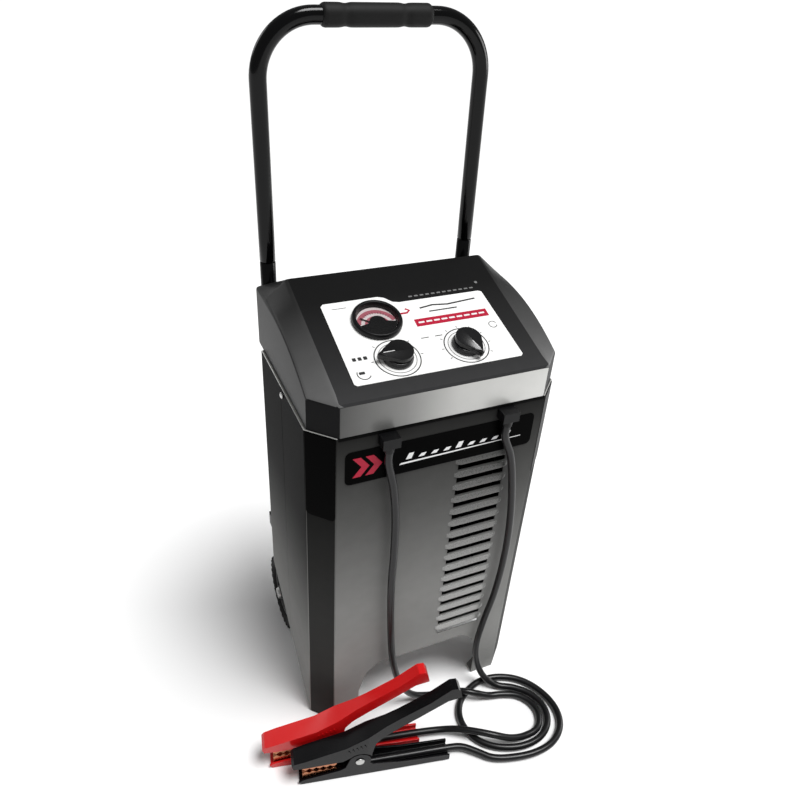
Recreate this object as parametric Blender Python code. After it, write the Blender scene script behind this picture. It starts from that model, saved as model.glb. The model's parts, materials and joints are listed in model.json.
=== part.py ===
"""Wheeled car battery charger: a steel cabinet on two wheels, with a push handle and two clamp leads.

Metres, +Z up, floor at z = 0, front towards -Y. The origin is at the middle of the footprint.
"""

import math

import bmesh
import bpy
import numpy as np
from mathutils import Matrix, Vector
from mathutils.geometry import interpolate_bezier

GAP = 0.0003  # clearance between touching pieces

# Cabinet
HALF_WIDTH = 0.165
FRONT_HALF = 0.1355  # half width of the flat front between the chamfers
FRONT_Y = -0.138
CHAMFER = 0.030
SEAM_Y = -0.015  # where the front shell meets the rear shell
BACK_Y = 0.076
SHEET = 0.0016
DECK_Z = 0.534
BASE_Z = 0.1465
SIDE_FOOT_Y = -0.106  # where the side's slanted lower edge leaves the floor
SIDE_BACK_Z = 0.143  # height of that edge at the back
FRONT_CORNERS = [
    (-HALF_WIDTH, SEAM_Y), (-HALF_WIDTH, FRONT_Y + CHAMFER), (-FRONT_HALF, FRONT_Y),
    (FRONT_HALF, FRONT_Y), (HALF_WIDTH, FRONT_Y + CHAMFER), (HALF_WIDTH, SEAM_Y),
]
SCREW_Y = SEAM_Y - 0.007
SCREW_Z = 0.526
ARCH = [(0.098, -0.01), (0.098, 0.055), (0.088, 0.090), (0.070, 0.107)]

# Louvres
LOUVRE_COUNT = 16
LOUVRE_X = (0.024, 0.092)
LOUVRE_Z = (0.135, 0.451)
LOUVRE_HEIGHT = 0.0105

# Cap and its control panel
CAP_Z = DECK_Z + GAP
CAP_HALF = 0.162
CAP_FRONT_HALF = 0.133
CAP_BAND = 0.0425
CAP_BACK_Y = 0.112
CAP_WALL = 0.003
PANEL_TILT = math.radians(17.3)
PANEL_ORIGIN = Vector((0, -0.1173, DECK_Z + 0.0515))
PANEL_HALF = 0.134
AMMETER_AT = (-0.049, 0.090)
RATE_AT = (-0.0455, 0.0295)
TIMER_AT = (0.0445, 0.0305)

# Handle
TUBE_R = 0.010
TUBE_WALL = 0.0015
TUBE_X = 0.1413
TUBE_Y = 0.114
JOINT_Z = 0.640
HANDLE_TOP_Z = 0.920
HANDLE_TOP_Y = 0.120
BEND_R = 0.066
GRIP_HALF = 0.067
BRACKET_Z = 0.190

# Wheels
WHEEL_R = 0.061
WHEEL_X = (0.131, 0.157)
AXLE_Y = 0.078
AXLE_R = 0.006

# Leads and clamps
CORD_R = 0.005
GLAND_X = {"black": 0.080, "red": -0.0755}
GLAND_Z = 0.531
CORD_DROP_Y = FRONT_Y - 0.0085
CLAMP_TURN = math.radians(-11.9)
CLAMP_AT = {"black": Vector((-0.2117, -0.1993, 0)), "red": Vector((-0.2427, -0.1613, 0))}
CLAMP_HALF = 0.013
PIVOT = (0.086, 0.0345)  # along the clamp and up

ROUTES = {
    "red": [
        (GLAND_X["red"], CORD_DROP_Y, 0.5083), (GLAND_X["red"], CORD_DROP_Y, 0.492), (-0.0680, -0.1480, 0.455),
        (-0.0630, -0.1490, 0.405), (-0.0620, -0.1500, 0.342), (-0.0625, -0.1500, 0.284),
        (-0.0590, -0.1500, 0.200), (-0.0530, -0.1500, 0.130), (-0.0440, -0.1500, 0.082),
        (-0.0310, -0.1505, 0.044), (-0.0130, -0.1515, 0.018), (0.0100, -0.1535, 0.0065),
        (0.0340, -0.1590, 0.0065), (0.0520, -0.1670, 0.0125), (0.0670, -0.1765, 0.0175),
        (0.0830, -0.1845, 0.0140), (0.1010, -0.1895, 0.0065), (0.1230, -0.1950, 0.0052),
        (0.1450, -0.2060, 0.0052), (0.1585, -0.2270, 0.0052), (0.1570, -0.2490, 0.0052),
        (0.1430, -0.2650, 0.0052), (0.1180, -0.2685, 0.0060), (0.0940, -0.2660, 0.0120),
        (0.0720, -0.2570, 0.0188), (0.0500, -0.2430, 0.0195), (0.0280, -0.2280, 0.0160),
        (0.0060, -0.2160, 0.0100), (-0.0294, -0.2063, 0.0090), (-0.0881, -0.1939, 0.0090),
        (-0.1449, -0.1819, 0.0090),
    ],
    "black": [
        (GLAND_X["black"], CORD_DROP_Y, 0.5083), (GLAND_X["black"], CORD_DROP_Y, 0.492), (0.0920, -0.1480, 0.460),
        (0.1010, -0.1490, 0.415), (0.1090, -0.1500, 0.345), (0.1110, -0.1500, 0.274),
        (0.1060, -0.1500, 0.201), (0.0950, -0.1500, 0.138), (0.0900, -0.1505, 0.088),
        (0.0940, -0.1550, 0.048), (0.1060, -0.1660, 0.0180), (0.1230, -0.1785, 0.0065),
        (0.1450, -0.1905, 0.0052), (0.1640, -0.2090, 0.0052), (0.1730, -0.2350, 0.0052),
        (0.1650, -0.2610, 0.0052), (0.1430, -0.2775, 0.0052), (0.1120, -0.2810, 0.0052),
        (0.0800, -0.2720, 0.0052), (0.0560, -0.2550, 0.0052), (0.0430, -0.2320, 0.0052),
        (0.0420, -0.2070, 0.0052), (0.0530, -0.1850, 0.0052), (0.0750, -0.1690, 0.0052),
        (0.1030, -0.1610, 0.0052), (0.1350, -0.1660, 0.0052), (0.1640, -0.1840, 0.0052),
        (0.1830, -0.2130, 0.0052), (0.1890, -0.2460, 0.0052), (0.1790, -0.2740, 0.0052),
        (0.1540, -0.2920, 0.0052), (0.1200, -0.2965, 0.0052), (0.0830, -0.2900, 0.0052),
        (0.0570, -0.2800, 0.0058), (0.0390, -0.2640, 0.0072), (0.0220, -0.2505, 0.0086),
        (0.0016, -0.2443, 0.0090), (-0.0571, -0.2319, 0.0090), (-0.1139, -0.2199, 0.0090),
    ],
}


def clear_scene():
    for obj in list(bpy.data.objects):
        bpy.data.objects.remove(obj, do_unlink=True)


def material(name, colour, roughness, metallic=0.0, alpha=1.0):
    mat = bpy.data.materials.new(name)
    mat.use_nodes = True
    shader = mat.node_tree.nodes["Principled BSDF"]
    shader.inputs["Base Color"].default_value = (*colour, 1)
    shader.inputs["Roughness"].default_value = roughness
    shader.inputs["Metallic"].default_value = metallic
    shader.inputs["Alpha"].default_value = alpha
    mat.diffuse_color = (*colour, alpha)
    return mat


def link(name, data, mat=None, parent=None):
    obj = bpy.data.objects.new(name, data)
    bpy.context.scene.collection.objects.link(obj)
    if mat:
        data.materials.append(mat)
    if parent:
        obj.parent = parent
    return obj


def empty(name, location, rotation=(0, 0, 0), parent=None):
    obj = link(name, None, parent=parent)
    obj.location = location
    obj.rotation_euler = rotation
    return obj


def closed_mesh(name, bm, sharp=35):
    bmesh.ops.recalc_face_normals(bm, faces=bm.faces)
    mesh = bpy.data.meshes.new(name)
    bm.to_mesh(mesh)
    bm.free()
    mesh.shade_smooth()
    mesh.set_sharp_from_angle(angle=math.radians(sharp))
    return mesh


def outline_prism(points, axis, low, high, bm=None):
    """A polygon pushed along one axis: (y, z) for x, (x, z) for y and (x, y) for z."""
    bm = bm or bmesh.new()
    place = {
        "x": lambda a, b, c: (c, a, b),
        "y": lambda a, b, c: (a, c, b),
        "z": lambda a, b, c: (a, b, c),
    }[axis]
    rings = [[bm.verts.new(place(a, b, c)) for a, b in points] for c in (low, high)]
    count = len(points)
    bm.faces.new(rings[0])
    bm.faces.new(rings[1][::-1])
    for i in range(count):
        j = (i + 1) % count
        bm.faces.new((rings[0][i], rings[1][i], rings[1][j], rings[0][j]))
    return bm


def block(low, high, bm=None):
    corners = [(low[0], low[1]), (high[0], low[1]), (high[0], high[1]), (low[0], high[1])]
    return outline_prism(corners, "z", low[2], high[2], bm)


def turned(profile, segments=32, axis="z", bm=None, at=(0, 0, 0)):
    """Turns (radius, height) points about an axis. A profile from axis to axis is solid, any other is a ring."""
    bm = bm or bmesh.new()
    solid = profile[0][0] == 0
    rings = []
    for radius, height in profile:
        count = 1 if radius == 0 else segments
        ring = []
        for i in range(count):
            turn = 2 * math.pi * i / segments
            a, b = radius * math.cos(turn), radius * math.sin(turn)
            spot = {"z": (a, b, height), "x": (height, a, b), "y": (b, height, a)}[axis]
            ring.append(bm.verts.new(Vector(spot) + Vector(at)))
        rings.append(ring)
    pairs = list(zip(rings, rings[1:]))
    if not solid:
        pairs.append((rings[-1], rings[0]))
    for low, high in pairs:
        for i in range(segments):
            j = (i + 1) % segments
            corners = [low[i % len(low)], low[j % len(low)], high[j % len(high)], high[i % len(high)]]
            bm.faces.new(list(dict.fromkeys(corners)))
    return bm


def swept_tube(path, radii, inner, segments=12):
    """A hollow tube along a path, with one outer radius for each point of the path."""
    bm = bmesh.new()
    points = [Vector(p) for p in path]
    shells = {"outer": [], "inner": []}
    side = Vector((0, 1, 0))
    for i, point in enumerate(points):
        before = points[max(i - 1, 0)]
        after = points[min(i + 1, len(points) - 1)]
        along = (after - before).normalized()
        across = (side - along * side.dot(along)).normalized()
        third = along.cross(across)
        for key, radius in (("outer", radii[i]), ("inner", inner)):
            ring = []
            for k in range(segments):
                turn = 2 * math.pi * k / segments
                ring.append(bm.verts.new(point + (across * math.cos(turn) + third * math.sin(turn)) * radius))
            shells[key].append(ring)
    for rings in shells.values():
        for low, high in zip(rings, rings[1:]):
            for k in range(segments):
                j = (k + 1) % segments
                bm.faces.new((low[k], low[j], high[j], high[k]))
    for end in (0, -1):
        for k in range(segments):
            j = (k + 1) % segments
            outer, inside = shells["outer"][end], shells["inner"][end]
            bm.faces.new((outer[k], outer[j], inside[j], inside[k]))
    return bm


def helper(name, bm, parent=None):
    obj = link(name, closed_mesh(name, bm), parent=parent)
    obj.hide_render = True
    obj.display_type = "WIRE"
    return obj


def boolean(obj, bm, kind, operation="DIFFERENCE", parent=None):
    tool = helper(f"{obj.name}.{kind}", bm, parent)
    modifier = obj.modifiers.new(kind, "BOOLEAN")
    modifier.operation = operation
    modifier.object = tool
    return modifier


def cap_half_width(y):
    """Half width of the cap at a distance y behind its front, with chamfered corners."""
    depth = CAP_BACK_Y - FRONT_Y
    if y < CHAMFER:
        return CAP_FRONT_HALF + (CAP_HALF - CAP_FRONT_HALF) * y / CHAMFER
    return CAP_HALF - max(0.0, y - (depth - 0.014)) * 0.75


def cap_shoulder(y):
    """Height of the outer edge of the side bevel above the cap's foot."""
    rise = 1 - min(1.0, max(0.0, (0.165 - y) / 0.135)) ** 2
    return CAP_BAND + 0.0375 * rise - max(0.0, y - 0.236) * 0.40


def cap_top(y):
    """Height of the panel plane and of the slope behind it above the cap's foot."""
    ridge = 0.195
    plane = PANEL_ORIGIN.z - CAP_Z + (min(y, ridge) + FRONT_Y - PANEL_ORIGIN.y) * math.tan(PANEL_TILT)
    return max(plane - max(0.0, y - ridge) * 0.53, cap_shoulder(y) - 0.0005)


CAP_STATIONS = [0, 0.003, 0.016, CHAMFER, 0.050, 0.075, 0.100, 0.130, 0.165, 0.195, 0.222, 0.236, 0.250]


def cap_loft(inset=0.0, floor=0.0):
    """The cap's outer form, or the same form drawn in by a wall thickness."""
    bm = bmesh.new()
    rings = []
    for station in CAP_STATIONS:
        half = cap_half_width(station) - inset
        shoulder = min(cap_shoulder(station), cap_top(station)) - inset
        top = cap_top(station) - inset * 1.05
        bevel = min(PANEL_HALF, half - 0.0015 + inset) - inset * 0.6
        if station == 0:
            shoulder = top = CAP_BAND - inset
            bevel = half - 0.004
        if station == CAP_STATIONS[-1]:
            shoulder = top = cap_top(station) - 0.004 - inset
            bevel = half - 0.010
        place_y = min(max(FRONT_Y + station, FRONT_Y + inset), CAP_BACK_Y - inset)
        section = [(-half, floor), (-half, shoulder), (-bevel, top), (bevel, top), (half, shoulder), (half, floor)]
        rings.append([bm.verts.new((x, place_y, CAP_Z + z)) for x, z in section])
    for low, high in zip(rings, rings[1:]):
        for i in range(6):
            j = (i + 1) % 6
            bm.faces.new((low[i], low[j], high[j], high[i]))
    bm.faces.new(rings[0])
    bm.faces.new(rings[-1])
    return bm


def make_cap(mats, panel):
    bm = cap_loft()
    obj = link("top_cap", closed_mesh("top_cap", bm, 20), mats["black_plastic"])
    boolean(obj, cap_loft(CAP_WALL, -0.02), "cavity")
    holes = bmesh.new()
    turned([(0, -0.03), (0.0270, -0.03), (0.0270, 0.02), (0, 0.02)], 32, bm=holes, at=(*AMMETER_AT, 0))
    for spot in (RATE_AT, TIMER_AT):
        turned([(0, -0.03), (0.0045, -0.03), (0.0045, 0.02), (0, 0.02)], 16, bm=holes, at=(*spot, 0))
    boolean(obj, holes, "panel_holes", parent=panel)
    sockets = bmesh.new()
    bores = bmesh.new()
    for side in (-1, 1):
        at = (side * TUBE_X, TUBE_Y, 0)
        turned([(0, CAP_Z + 0.004), (0.0175, CAP_Z + 0.004), (0.0175, CAP_Z + 0.051), (0, CAP_Z + 0.051)], 24,
               bm=sockets, at=at)
        turned([(0, CAP_Z - 0.03), (TUBE_R + GAP, CAP_Z - 0.03), (TUBE_R + GAP, JOINT_Z), (0, JOINT_Z)], 24,
               bm=bores, at=at)
    boolean(obj, sockets, "sockets", "UNION")
    boolean(obj, bores, "bores")
    return obj


def inset_corner(before, corner, after, distance):
    """A plan's corner moved in by a distance from both of its walls. A sheet's free end has one wall."""
    sides = []
    for a, b in ((before, corner), (corner, after)):
        if a is not None and b is not None:
            along = (Vector(b) - Vector(a)).normalized()
            sides.append(Vector((-along.y, along.x)))
    half = sum(sides, Vector((0, 0))).normalized()
    return tuple(Vector(corner) + half * distance / half.dot(sides[0]))


def shell_outline(corners):
    """A bent sheet: the corners of its outer face, then those of its inner face on the way back."""
    padded = [None, *corners, None]
    inner = [inset_corner(*padded[i:i + 3], SHEET) for i in range(len(corners))]
    return [*corners, *inner[::-1]]


def plate_outline():
    """The cabinet's inner plan, for the deck and the base plate."""
    corners = [*FRONT_CORNERS[1:-1], (HALF_WIDTH, BACK_Y), (-HALF_WIDTH, BACK_Y)]
    ring = [corners[-1], *corners, corners[0]]
    return [inset_corner(*ring[i:i + 3], SHEET + GAP) for i in range(len(corners))]


def slanted_cutter(low_y, wide=0.2):
    """What is cut away below the side's slanted lower edge."""
    slope = SIDE_BACK_Z / (BACK_Y - SIDE_FOOT_Y)
    far = BACK_Y + 0.02
    return outline_prism(
        [(low_y, -0.02), (far, -0.02), (far, slope * (far - SIDE_FOOT_Y)), (low_y, slope * (low_y - SIDE_FOOT_Y))],
        "x", -wide, wide)


def louvre_places():
    return np.linspace(LOUVRE_Z[0], LOUVRE_Z[1], LOUVRE_COUNT)


def make_front_shell(mats):
    sheet = outline_prism(shell_outline(FRONT_CORNERS), "z", 0, DECK_Z)
    obj = link("front_shell", closed_mesh("front_shell", sheet, 20), mats["grey_paint"])
    arch = [(x, z) for x, z in ARCH] + [(-x, z) for x, z in ARCH[::-1]]
    boolean(obj, outline_prism(arch, "y", FRONT_Y - 0.01, FRONT_Y + 0.01), "arch")
    boolean(obj, slanted_cutter(SIDE_FOOT_Y + 0.0004), "slanted_edge")
    feet = bmesh.new()
    vanes = bmesh.new()
    slots = bmesh.new()
    inside = SHEET * 0.5
    for side in (-1, 1):
        foot = [(side * 0.0985, FRONT_Y + inside), (side * (FRONT_HALF - 0.0004), FRONT_Y + inside),
                (side * (HALF_WIDTH - inside), FRONT_Y + CHAMFER - 0.0003),
                (side * (HALF_WIDTH - inside), SIDE_FOOT_Y - 0.0005), (side * 0.1300, SIDE_FOOT_Y - 0.0005),
                (side * 0.0985, FRONT_Y + 0.016)]
        outline_prism(foot, "z", 0, 0.0025, feet)
    for z in louvre_places():
        low, high = z - LOUVRE_HEIGHT / 2, z + LOUVRE_HEIGHT / 2
        block((LOUVRE_X[0], FRONT_Y - 0.01, low), (LOUVRE_X[1], FRONT_Y + 0.01, high), slots)
        vane = [(FRONT_Y + 0.0006, high - 0.0004), (FRONT_Y + 0.0006, high + 0.0012),
                (FRONT_Y + 0.0100, low + 0.0012), (FRONT_Y + 0.0090, low)]
        outline_prism(vane, "x", LOUVRE_X[0] - 0.001, LOUVRE_X[1] + 0.001, vanes)
    boolean(obj, slots, "louvre_slots")
    boolean(obj, vanes, "louvre_vanes", "UNION")
    boolean(obj, feet, "feet", "UNION")
    holes = bmesh.new()
    for side in (-1, 1):
        ends = sorted((side * (HALF_WIDTH - 0.01), side * (HALF_WIDTH + 0.01)))
        hole = [(0, ends[0]), (0.0024, ends[0]), (0.0024, ends[1]), (0, ends[1])]
        turned(hole, 12, "x", holes, (0, SCREW_Y, SCREW_Z))
    boolean(obj, holes, "screw_holes")


def make_screws(mats):
    profile = [(0, -0.006), (0.0020, -0.006), (0.0020, 0.0003), (0.0042, 0.0003), (0.0042, 0.0014),
               (0.0026, 0.0026), (0, 0.0026)]
    for side, word in ((-1, "left"), (1, "right")):
        bm = turned([(r, h * side) for r, h in profile], 16, "x")
        name = f"side_screw_{word}"
        obj = link(name, closed_mesh(name, bm), mats["zinc"])
        obj.location = (side * HALF_WIDTH, SCREW_Y, SCREW_Z)


def make_rear_shell(mats):
    corners = [(HALF_WIDTH, SEAM_Y + 2 * GAP), (HALF_WIDTH, BACK_Y), (-HALF_WIDTH, BACK_Y),
               (-HALF_WIDTH, SEAM_Y + 2 * GAP)]
    obj = link("rear_shell", closed_mesh("rear_shell", outline_prism(shell_outline(corners), "z", 0.02, DECK_Z), 20),
               mats["grey_paint"])
    boolean(obj, slanted_cutter(SEAM_Y - 0.02), "slanted_edge")
    vents = bmesh.new()
    for row in range(6):
        z = 0.430 + 0.014 * row
        block((-0.055, BACK_Y - 0.01, z), (0.055, BACK_Y + 0.01, z + 0.005), vents)
    boolean(obj, vents, "vents")
    bore = turned([(0, BACK_Y - 0.01), (0.0085, BACK_Y - 0.01), (0.0085, BACK_Y + 0.01), (0, BACK_Y + 0.01)], 20, "y",
                  at=(0.075, 0, 0.200))
    boolean(obj, bore, "cord_hole")


def make_plates(mats):
    for name, low, high in (("deck_plate", DECK_Z - 0.002, DECK_Z), ("base_plate", BASE_Z, BASE_Z + 0.002)):
        link(name, closed_mesh(name, outline_prism(plate_outline(), "z", low, high)), mats["zinc"])


def make_decals(mats):
    front = FRONT_Y - GAP
    band = rounded_rectangle(-0.126, 0.1245, 0.4645, 0.5125, 0.007)
    link("front_decal", closed_mesh("front_decal", outline_prism(band, "y", front - 0.0006, front)),
         mats["black_label"])
    width = math.hypot(HALF_WIDTH - FRONT_HALF, CHAMFER)
    for side, word in ((-1, "left"), (1, "right")):
        corner = rounded_rectangle(0.0015, width - 0.0015, 0.410, DECK_Z - 0.001, 0.006, tops=False)
        name = f"corner_decal_{word}"
        obj = link(name, closed_mesh(name, outline_prism(corner, "y", -GAP - 0.0006, -GAP)), mats["black_label"])
        turn = math.atan2(CHAMFER, HALF_WIDTH - FRONT_HALF)
        if side < 0:
            obj.location = (-HALF_WIDTH, FRONT_Y + CHAMFER, 0)
            obj.rotation_euler = (0, 0, -turn)
        else:
            obj.location = (FRONT_HALF, FRONT_Y, 0)
            obj.rotation_euler = (0, 0, turn)


def rounded_rectangle(left, right, low, high, radius, tops=True, steps=4):
    points = []
    for x, z, start, is_round in ((right, low, -90, True), (right, high, 0, tops), (left, high, 90, tops),
                                  (left, low, 180, True)):
        if not is_round:
            points.append((x, z))
            continue
        cx = x - radius if x == right else x + radius
        cz = z - radius if z == high else z + radius
        for i in range(steps + 1):
            turn = math.radians(start + 90 * i / steps)
            points.append((cx + radius * math.cos(turn), cz + radius * math.sin(turn)))
    return points


def arc(cx, cy, radius, start, end, steps):
    return [(cx + radius * math.cos(math.radians(start + (end - start) * i / steps)),
             cy + radius * math.sin(math.radians(start + (end - start) * i / steps))) for i in range(steps + 1)]


def make_panel(mats, panel):
    label = [(-0.108, 0.003), (-0.105, 0.0), (0.105, 0.0), (0.108, 0.003), (0.1045, 0.1135), (0.101, 0.1160),
             (-0.010, 0.1160), (-0.018, 0.1185), (-0.026, 0.1270), (-0.034, 0.1300), (-0.104, 0.1300),
             (-0.1075, 0.1265)]
    obj = link("panel_label", closed_mesh("panel_label", outline_prism(label, "z", GAP, 0.0010)),
               mats["white_label"], panel)
    holes = bmesh.new()
    turned([(0, -0.01), (0.0270, -0.01), (0.0270, 0.01), (0, 0.01)], 32, bm=holes, at=(*AMMETER_AT, 0))
    for spot in (RATE_AT, TIMER_AT):
        turned([(0, -0.01), (0.0045, -0.01), (0.0045, 0.01), (0, 0.01)], 16, bm=holes, at=(*spot, 0))
    boolean(obj, holes, "label_holes", parent=panel)


def make_ammeter(mats, panel):
    gauge = empty("ammeter_frame", (*AMMETER_AT, 0), parent=panel)
    case = [(0, -0.022), (0.0264, -0.022), (0.0264, 0.0013), (0.0310, 0.0013), (0.0310, 0.0060), (0.0296, 0.0085),
            (0.0275, 0.0085), (0.0250, 0.0040), (0.0250, -0.0010), (0, -0.0010)]
    link("ammeter_case", closed_mesh("ammeter_case", turned(case, 32)), mats["black_plastic"], gauge)
    dial = [(0, -0.0007), (0.0246, -0.0007), (0.0246, 0.0001), (0, 0.0001)]
    link("ammeter_dial", closed_mesh("ammeter_dial", turned(dial, 32)), mats["dial_face"], gauge)
    lens = [(0, 0.0050), (0.0252, 0.0050), (0.0252, 0.0060), (0, 0.0060)]
    link("ammeter_lens", closed_mesh("ammeter_lens", turned(lens, 32)), mats["clear_lens"], gauge)
    cover = arc(0, 0, 0.0244, 195, 345, 14) + arc(0, -0.004, 0.0105, 0, 180, 10)
    link("pivot_cover", closed_mesh("pivot_cover", outline_prism(cover, "z", 0.0028, 0.0044)),
         mats["black_plastic"], gauge)
    pivot = empty("needle_pivot", (0, -0.006, 0), (0, 0, math.radians(52)), parent=gauge)
    needle = [(-0.0022, -0.004), (0.0022, -0.004), (0.0009, 0.004), (0.0004, 0.0235), (-0.0004, 0.0235),
              (-0.0009, 0.004)]
    link("ammeter_needle", closed_mesh("ammeter_needle", outline_prism(needle, "z", 0.0010, 0.0018)),
         mats["black_plastic"], pivot)


def make_knob(mats, panel, word, spot, pointer_turn):
    pivot = empty(f"{word}_pivot", (*spot, 0), (0, 0, math.radians(pointer_turn)), parent=panel)
    skirt = [(0, 0.0014), (0.0185, 0.0014), (0.0185, 0.0050), (0.0170, 0.0085), (0, 0.0085)]
    knob = link(f"{word}_knob", closed_mesh(f"{word}_knob", turned(skirt, 32)), mats["black_plastic"], pivot)
    grip = arc(0, -0.002, 0.0135, 150, 390, 12) + [(0.0050, 0.0150), (0.0012, 0.0265), (-0.0012, 0.0265),
                                                  (-0.0050, 0.0150)]
    boolean(knob, outline_prism(grip, "z", 0.0030, 0.0165), "grip", "UNION", pivot)
    bore = turned([(0, -0.001), (0.0033, -0.001), (0.0033, 0.0120), (0, 0.0120)], 16)
    boolean(knob, bore, "shaft_bore", parent=pivot)
    shaft = [(0, -0.0100), (0.0030, -0.0100), (0.0030, 0.0115), (0, 0.0115)]
    link(f"{word}_shaft", closed_mesh(f"{word}_shaft", turned(shaft, 16)), mats["zinc"], pivot)


def make_switches(mats, panel):
    for name, spot, half, depth in (("rate_switch", RATE_AT, 0.017, 0.030), ("timer_body", TIMER_AT, 0.024, 0.036)):
        body = block((-half, -half, -0.0105 - depth), (half, half, -0.0105))
        obj = link(name, closed_mesh(name, body), mats["brown_board"], panel)
        obj.location = (*spot, 0)


def handle_path():
    """The handle from the left tube's plug, over the bar, to the right tube's plug."""
    lean = (HANDLE_TOP_Y - TUBE_Y) / (HANDLE_TOP_Z - JOINT_Z)

    def spot(x, z):
        return (x, TUBE_Y + max(0.0, z - JOINT_Z) * lean, z)

    left = [spot(-TUBE_X, JOINT_Z - 0.04), spot(-TUBE_X, JOINT_Z), spot(-TUBE_X, JOINT_Z + GAP),
            spot(-TUBE_X, JOINT_Z + 0.10)]
    bend_z = HANDLE_TOP_Z - BEND_R
    bend_x = TUBE_X - BEND_R
    steps = 8
    for i in range(steps + 1):
        turn = math.pi / 2 * i / steps
        left.append(spot(-bend_x - BEND_R * math.cos(turn), bend_z + BEND_R * math.sin(turn)))
    return left + [(-x, y, z) for x, y, z in left[::-1]]


def make_handle(mats):
    path = handle_path()
    radii = [TUBE_R] * len(path)
    for i in (0, 1, -1, -2):
        radii[i] = TUBE_R - TUBE_WALL - 0.0004
    handle = swept_tube(path, radii, TUBE_R - TUBE_WALL - 0.0015)
    link("handle_bar", closed_mesh("handle_bar", handle), mats["black_paint"])
    grip = bmesh.new()
    outer = TUBE_R + GAP
    rings = []
    count = 20
    for i in range(count + 1):
        x = -GRIP_HALF + 2 * GRIP_HALF * i / count
        near = min(1.0, (GRIP_HALF - abs(x)) / 0.004)
        rings.append((outer + 0.0012 + 0.0013 * math.sqrt(max(near, 0)), x))
    turned([(outer, GRIP_HALF), (outer, -GRIP_HALF)] + rings, 20, "x", grip, (0, HANDLE_TOP_Y, HANDLE_TOP_Z))
    link("handle_grip", closed_mesh("handle_grip", grip), mats["grip_rubber"])
    for side, word in ((-1, "left"), (1, "right")):
        tube = swept_tube([(side * TUBE_X, TUBE_Y, 0.155), (side * TUBE_X, TUBE_Y, JOINT_Z)], [TUBE_R] * 2,
                          TUBE_R - TUBE_WALL)
        link(f"frame_tube_{word}", closed_mesh(f"frame_tube_{word}", tube), mats["black_paint"])
        x, z = side * TUBE_X, BRACKET_Z
        name = f"tube_bracket_{word}"
        body = block((x - 0.015, BACK_Y + GAP, z - 0.012), (x + 0.015, TUBE_Y + 0.013, z + 0.012))
        obj = link(name, closed_mesh(name, body), mats["black_plastic"])
        radius = TUBE_R + GAP
        bore = turned([(0, z - 0.02), (radius, z - 0.02), (radius, z + 0.02), (0, z + 0.02)], 24,
                      at=(x, TUBE_Y, 0))
        boolean(obj, bore, "tube_bore")


def make_wheels(mats):
    low, high = WHEEL_X
    link("axle", closed_mesh("axle", turned([(0, -high - 0.004), (AXLE_R, -high - 0.004), (AXLE_R, high + 0.004),
                                            (0, high + 0.004)], 20, "x", at=(0, AXLE_Y, WHEEL_R))), mats["zinc"])
    middle = (low + high) / 2
    half = (high - low) / 2
    for side, word in ((-1, "left"), (1, "right")):
        pivot = empty(f"wheel_pivot_{word}", (side * middle, AXLE_Y, WHEEL_R))
        tyre = [(0.0405, -half * 0.75), (0.0520, -half), (0.0585, -half * 0.80), (WHEEL_R, -half * 0.35),
                (WHEEL_R, half * 0.35), (0.0585, half * 0.80), (0.0520, half), (0.0405, half * 0.75)]
        link(f"tyre_{word}", closed_mesh(f"tyre_{word}", turned(tyre, 28, "x"), 40), mats["tyre_rubber"], pivot)
        hub = [(AXLE_R + GAP, -half), (0.0110, -half), (0.0120, -0.004), (0.0330, -0.004), (0.0350, -half * 0.72),
               (0.0402, -half * 0.72), (0.0402, half * 0.72), (0.0350, half * 0.72), (0.0330, 0.004),
               (0.0120, 0.004), (0.0110, half), (AXLE_R + GAP, half)]
        link(f"wheel_hub_{word}", closed_mesh(f"wheel_hub_{word}", turned(hub, 28, "x"), 40), mats["hub_plastic"],
             pivot)
        cap = [(0.0, side * 0.0054), (0.0085, side * 0.0046), (0.0095, side * 0.0004), (AXLE_R + GAP, side * 0.0004),
               (AXLE_R + GAP, side * 0.0042), (0.0, side * 0.0044)]
        obj = link(f"axle_cap_{word}", closed_mesh(f"axle_cap_{word}", turned(cap, 24, "x")), mats["zinc"])
        obj.location = (side * high, AXLE_Y, WHEEL_R)
        ends = sorted((side * 0.117, side * 0.120))
        plate = [(AXLE_Y - 0.040, BASE_Z - GAP), (AXLE_Y - 0.012, WHEEL_R - 0.014), (AXLE_Y + 0.012, WHEEL_R - 0.014),
                 (BACK_Y - 0.004, BASE_Z - GAP)]
        bracket = link(f"axle_bracket_{word}", closed_mesh(f"axle_bracket_{word}",
                                                           outline_prism(plate, "x", *ends)), mats["zinc"])
        radius = AXLE_R + GAP
        bore = turned([(0, ends[0] - 0.01), (radius, ends[0] - 0.01), (radius, ends[1] + 0.01), (0, ends[1] + 0.01)],
                      20, "x", at=(0, AXLE_Y, WHEEL_R))
        boolean(bracket, bore, "axle_bore")


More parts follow.
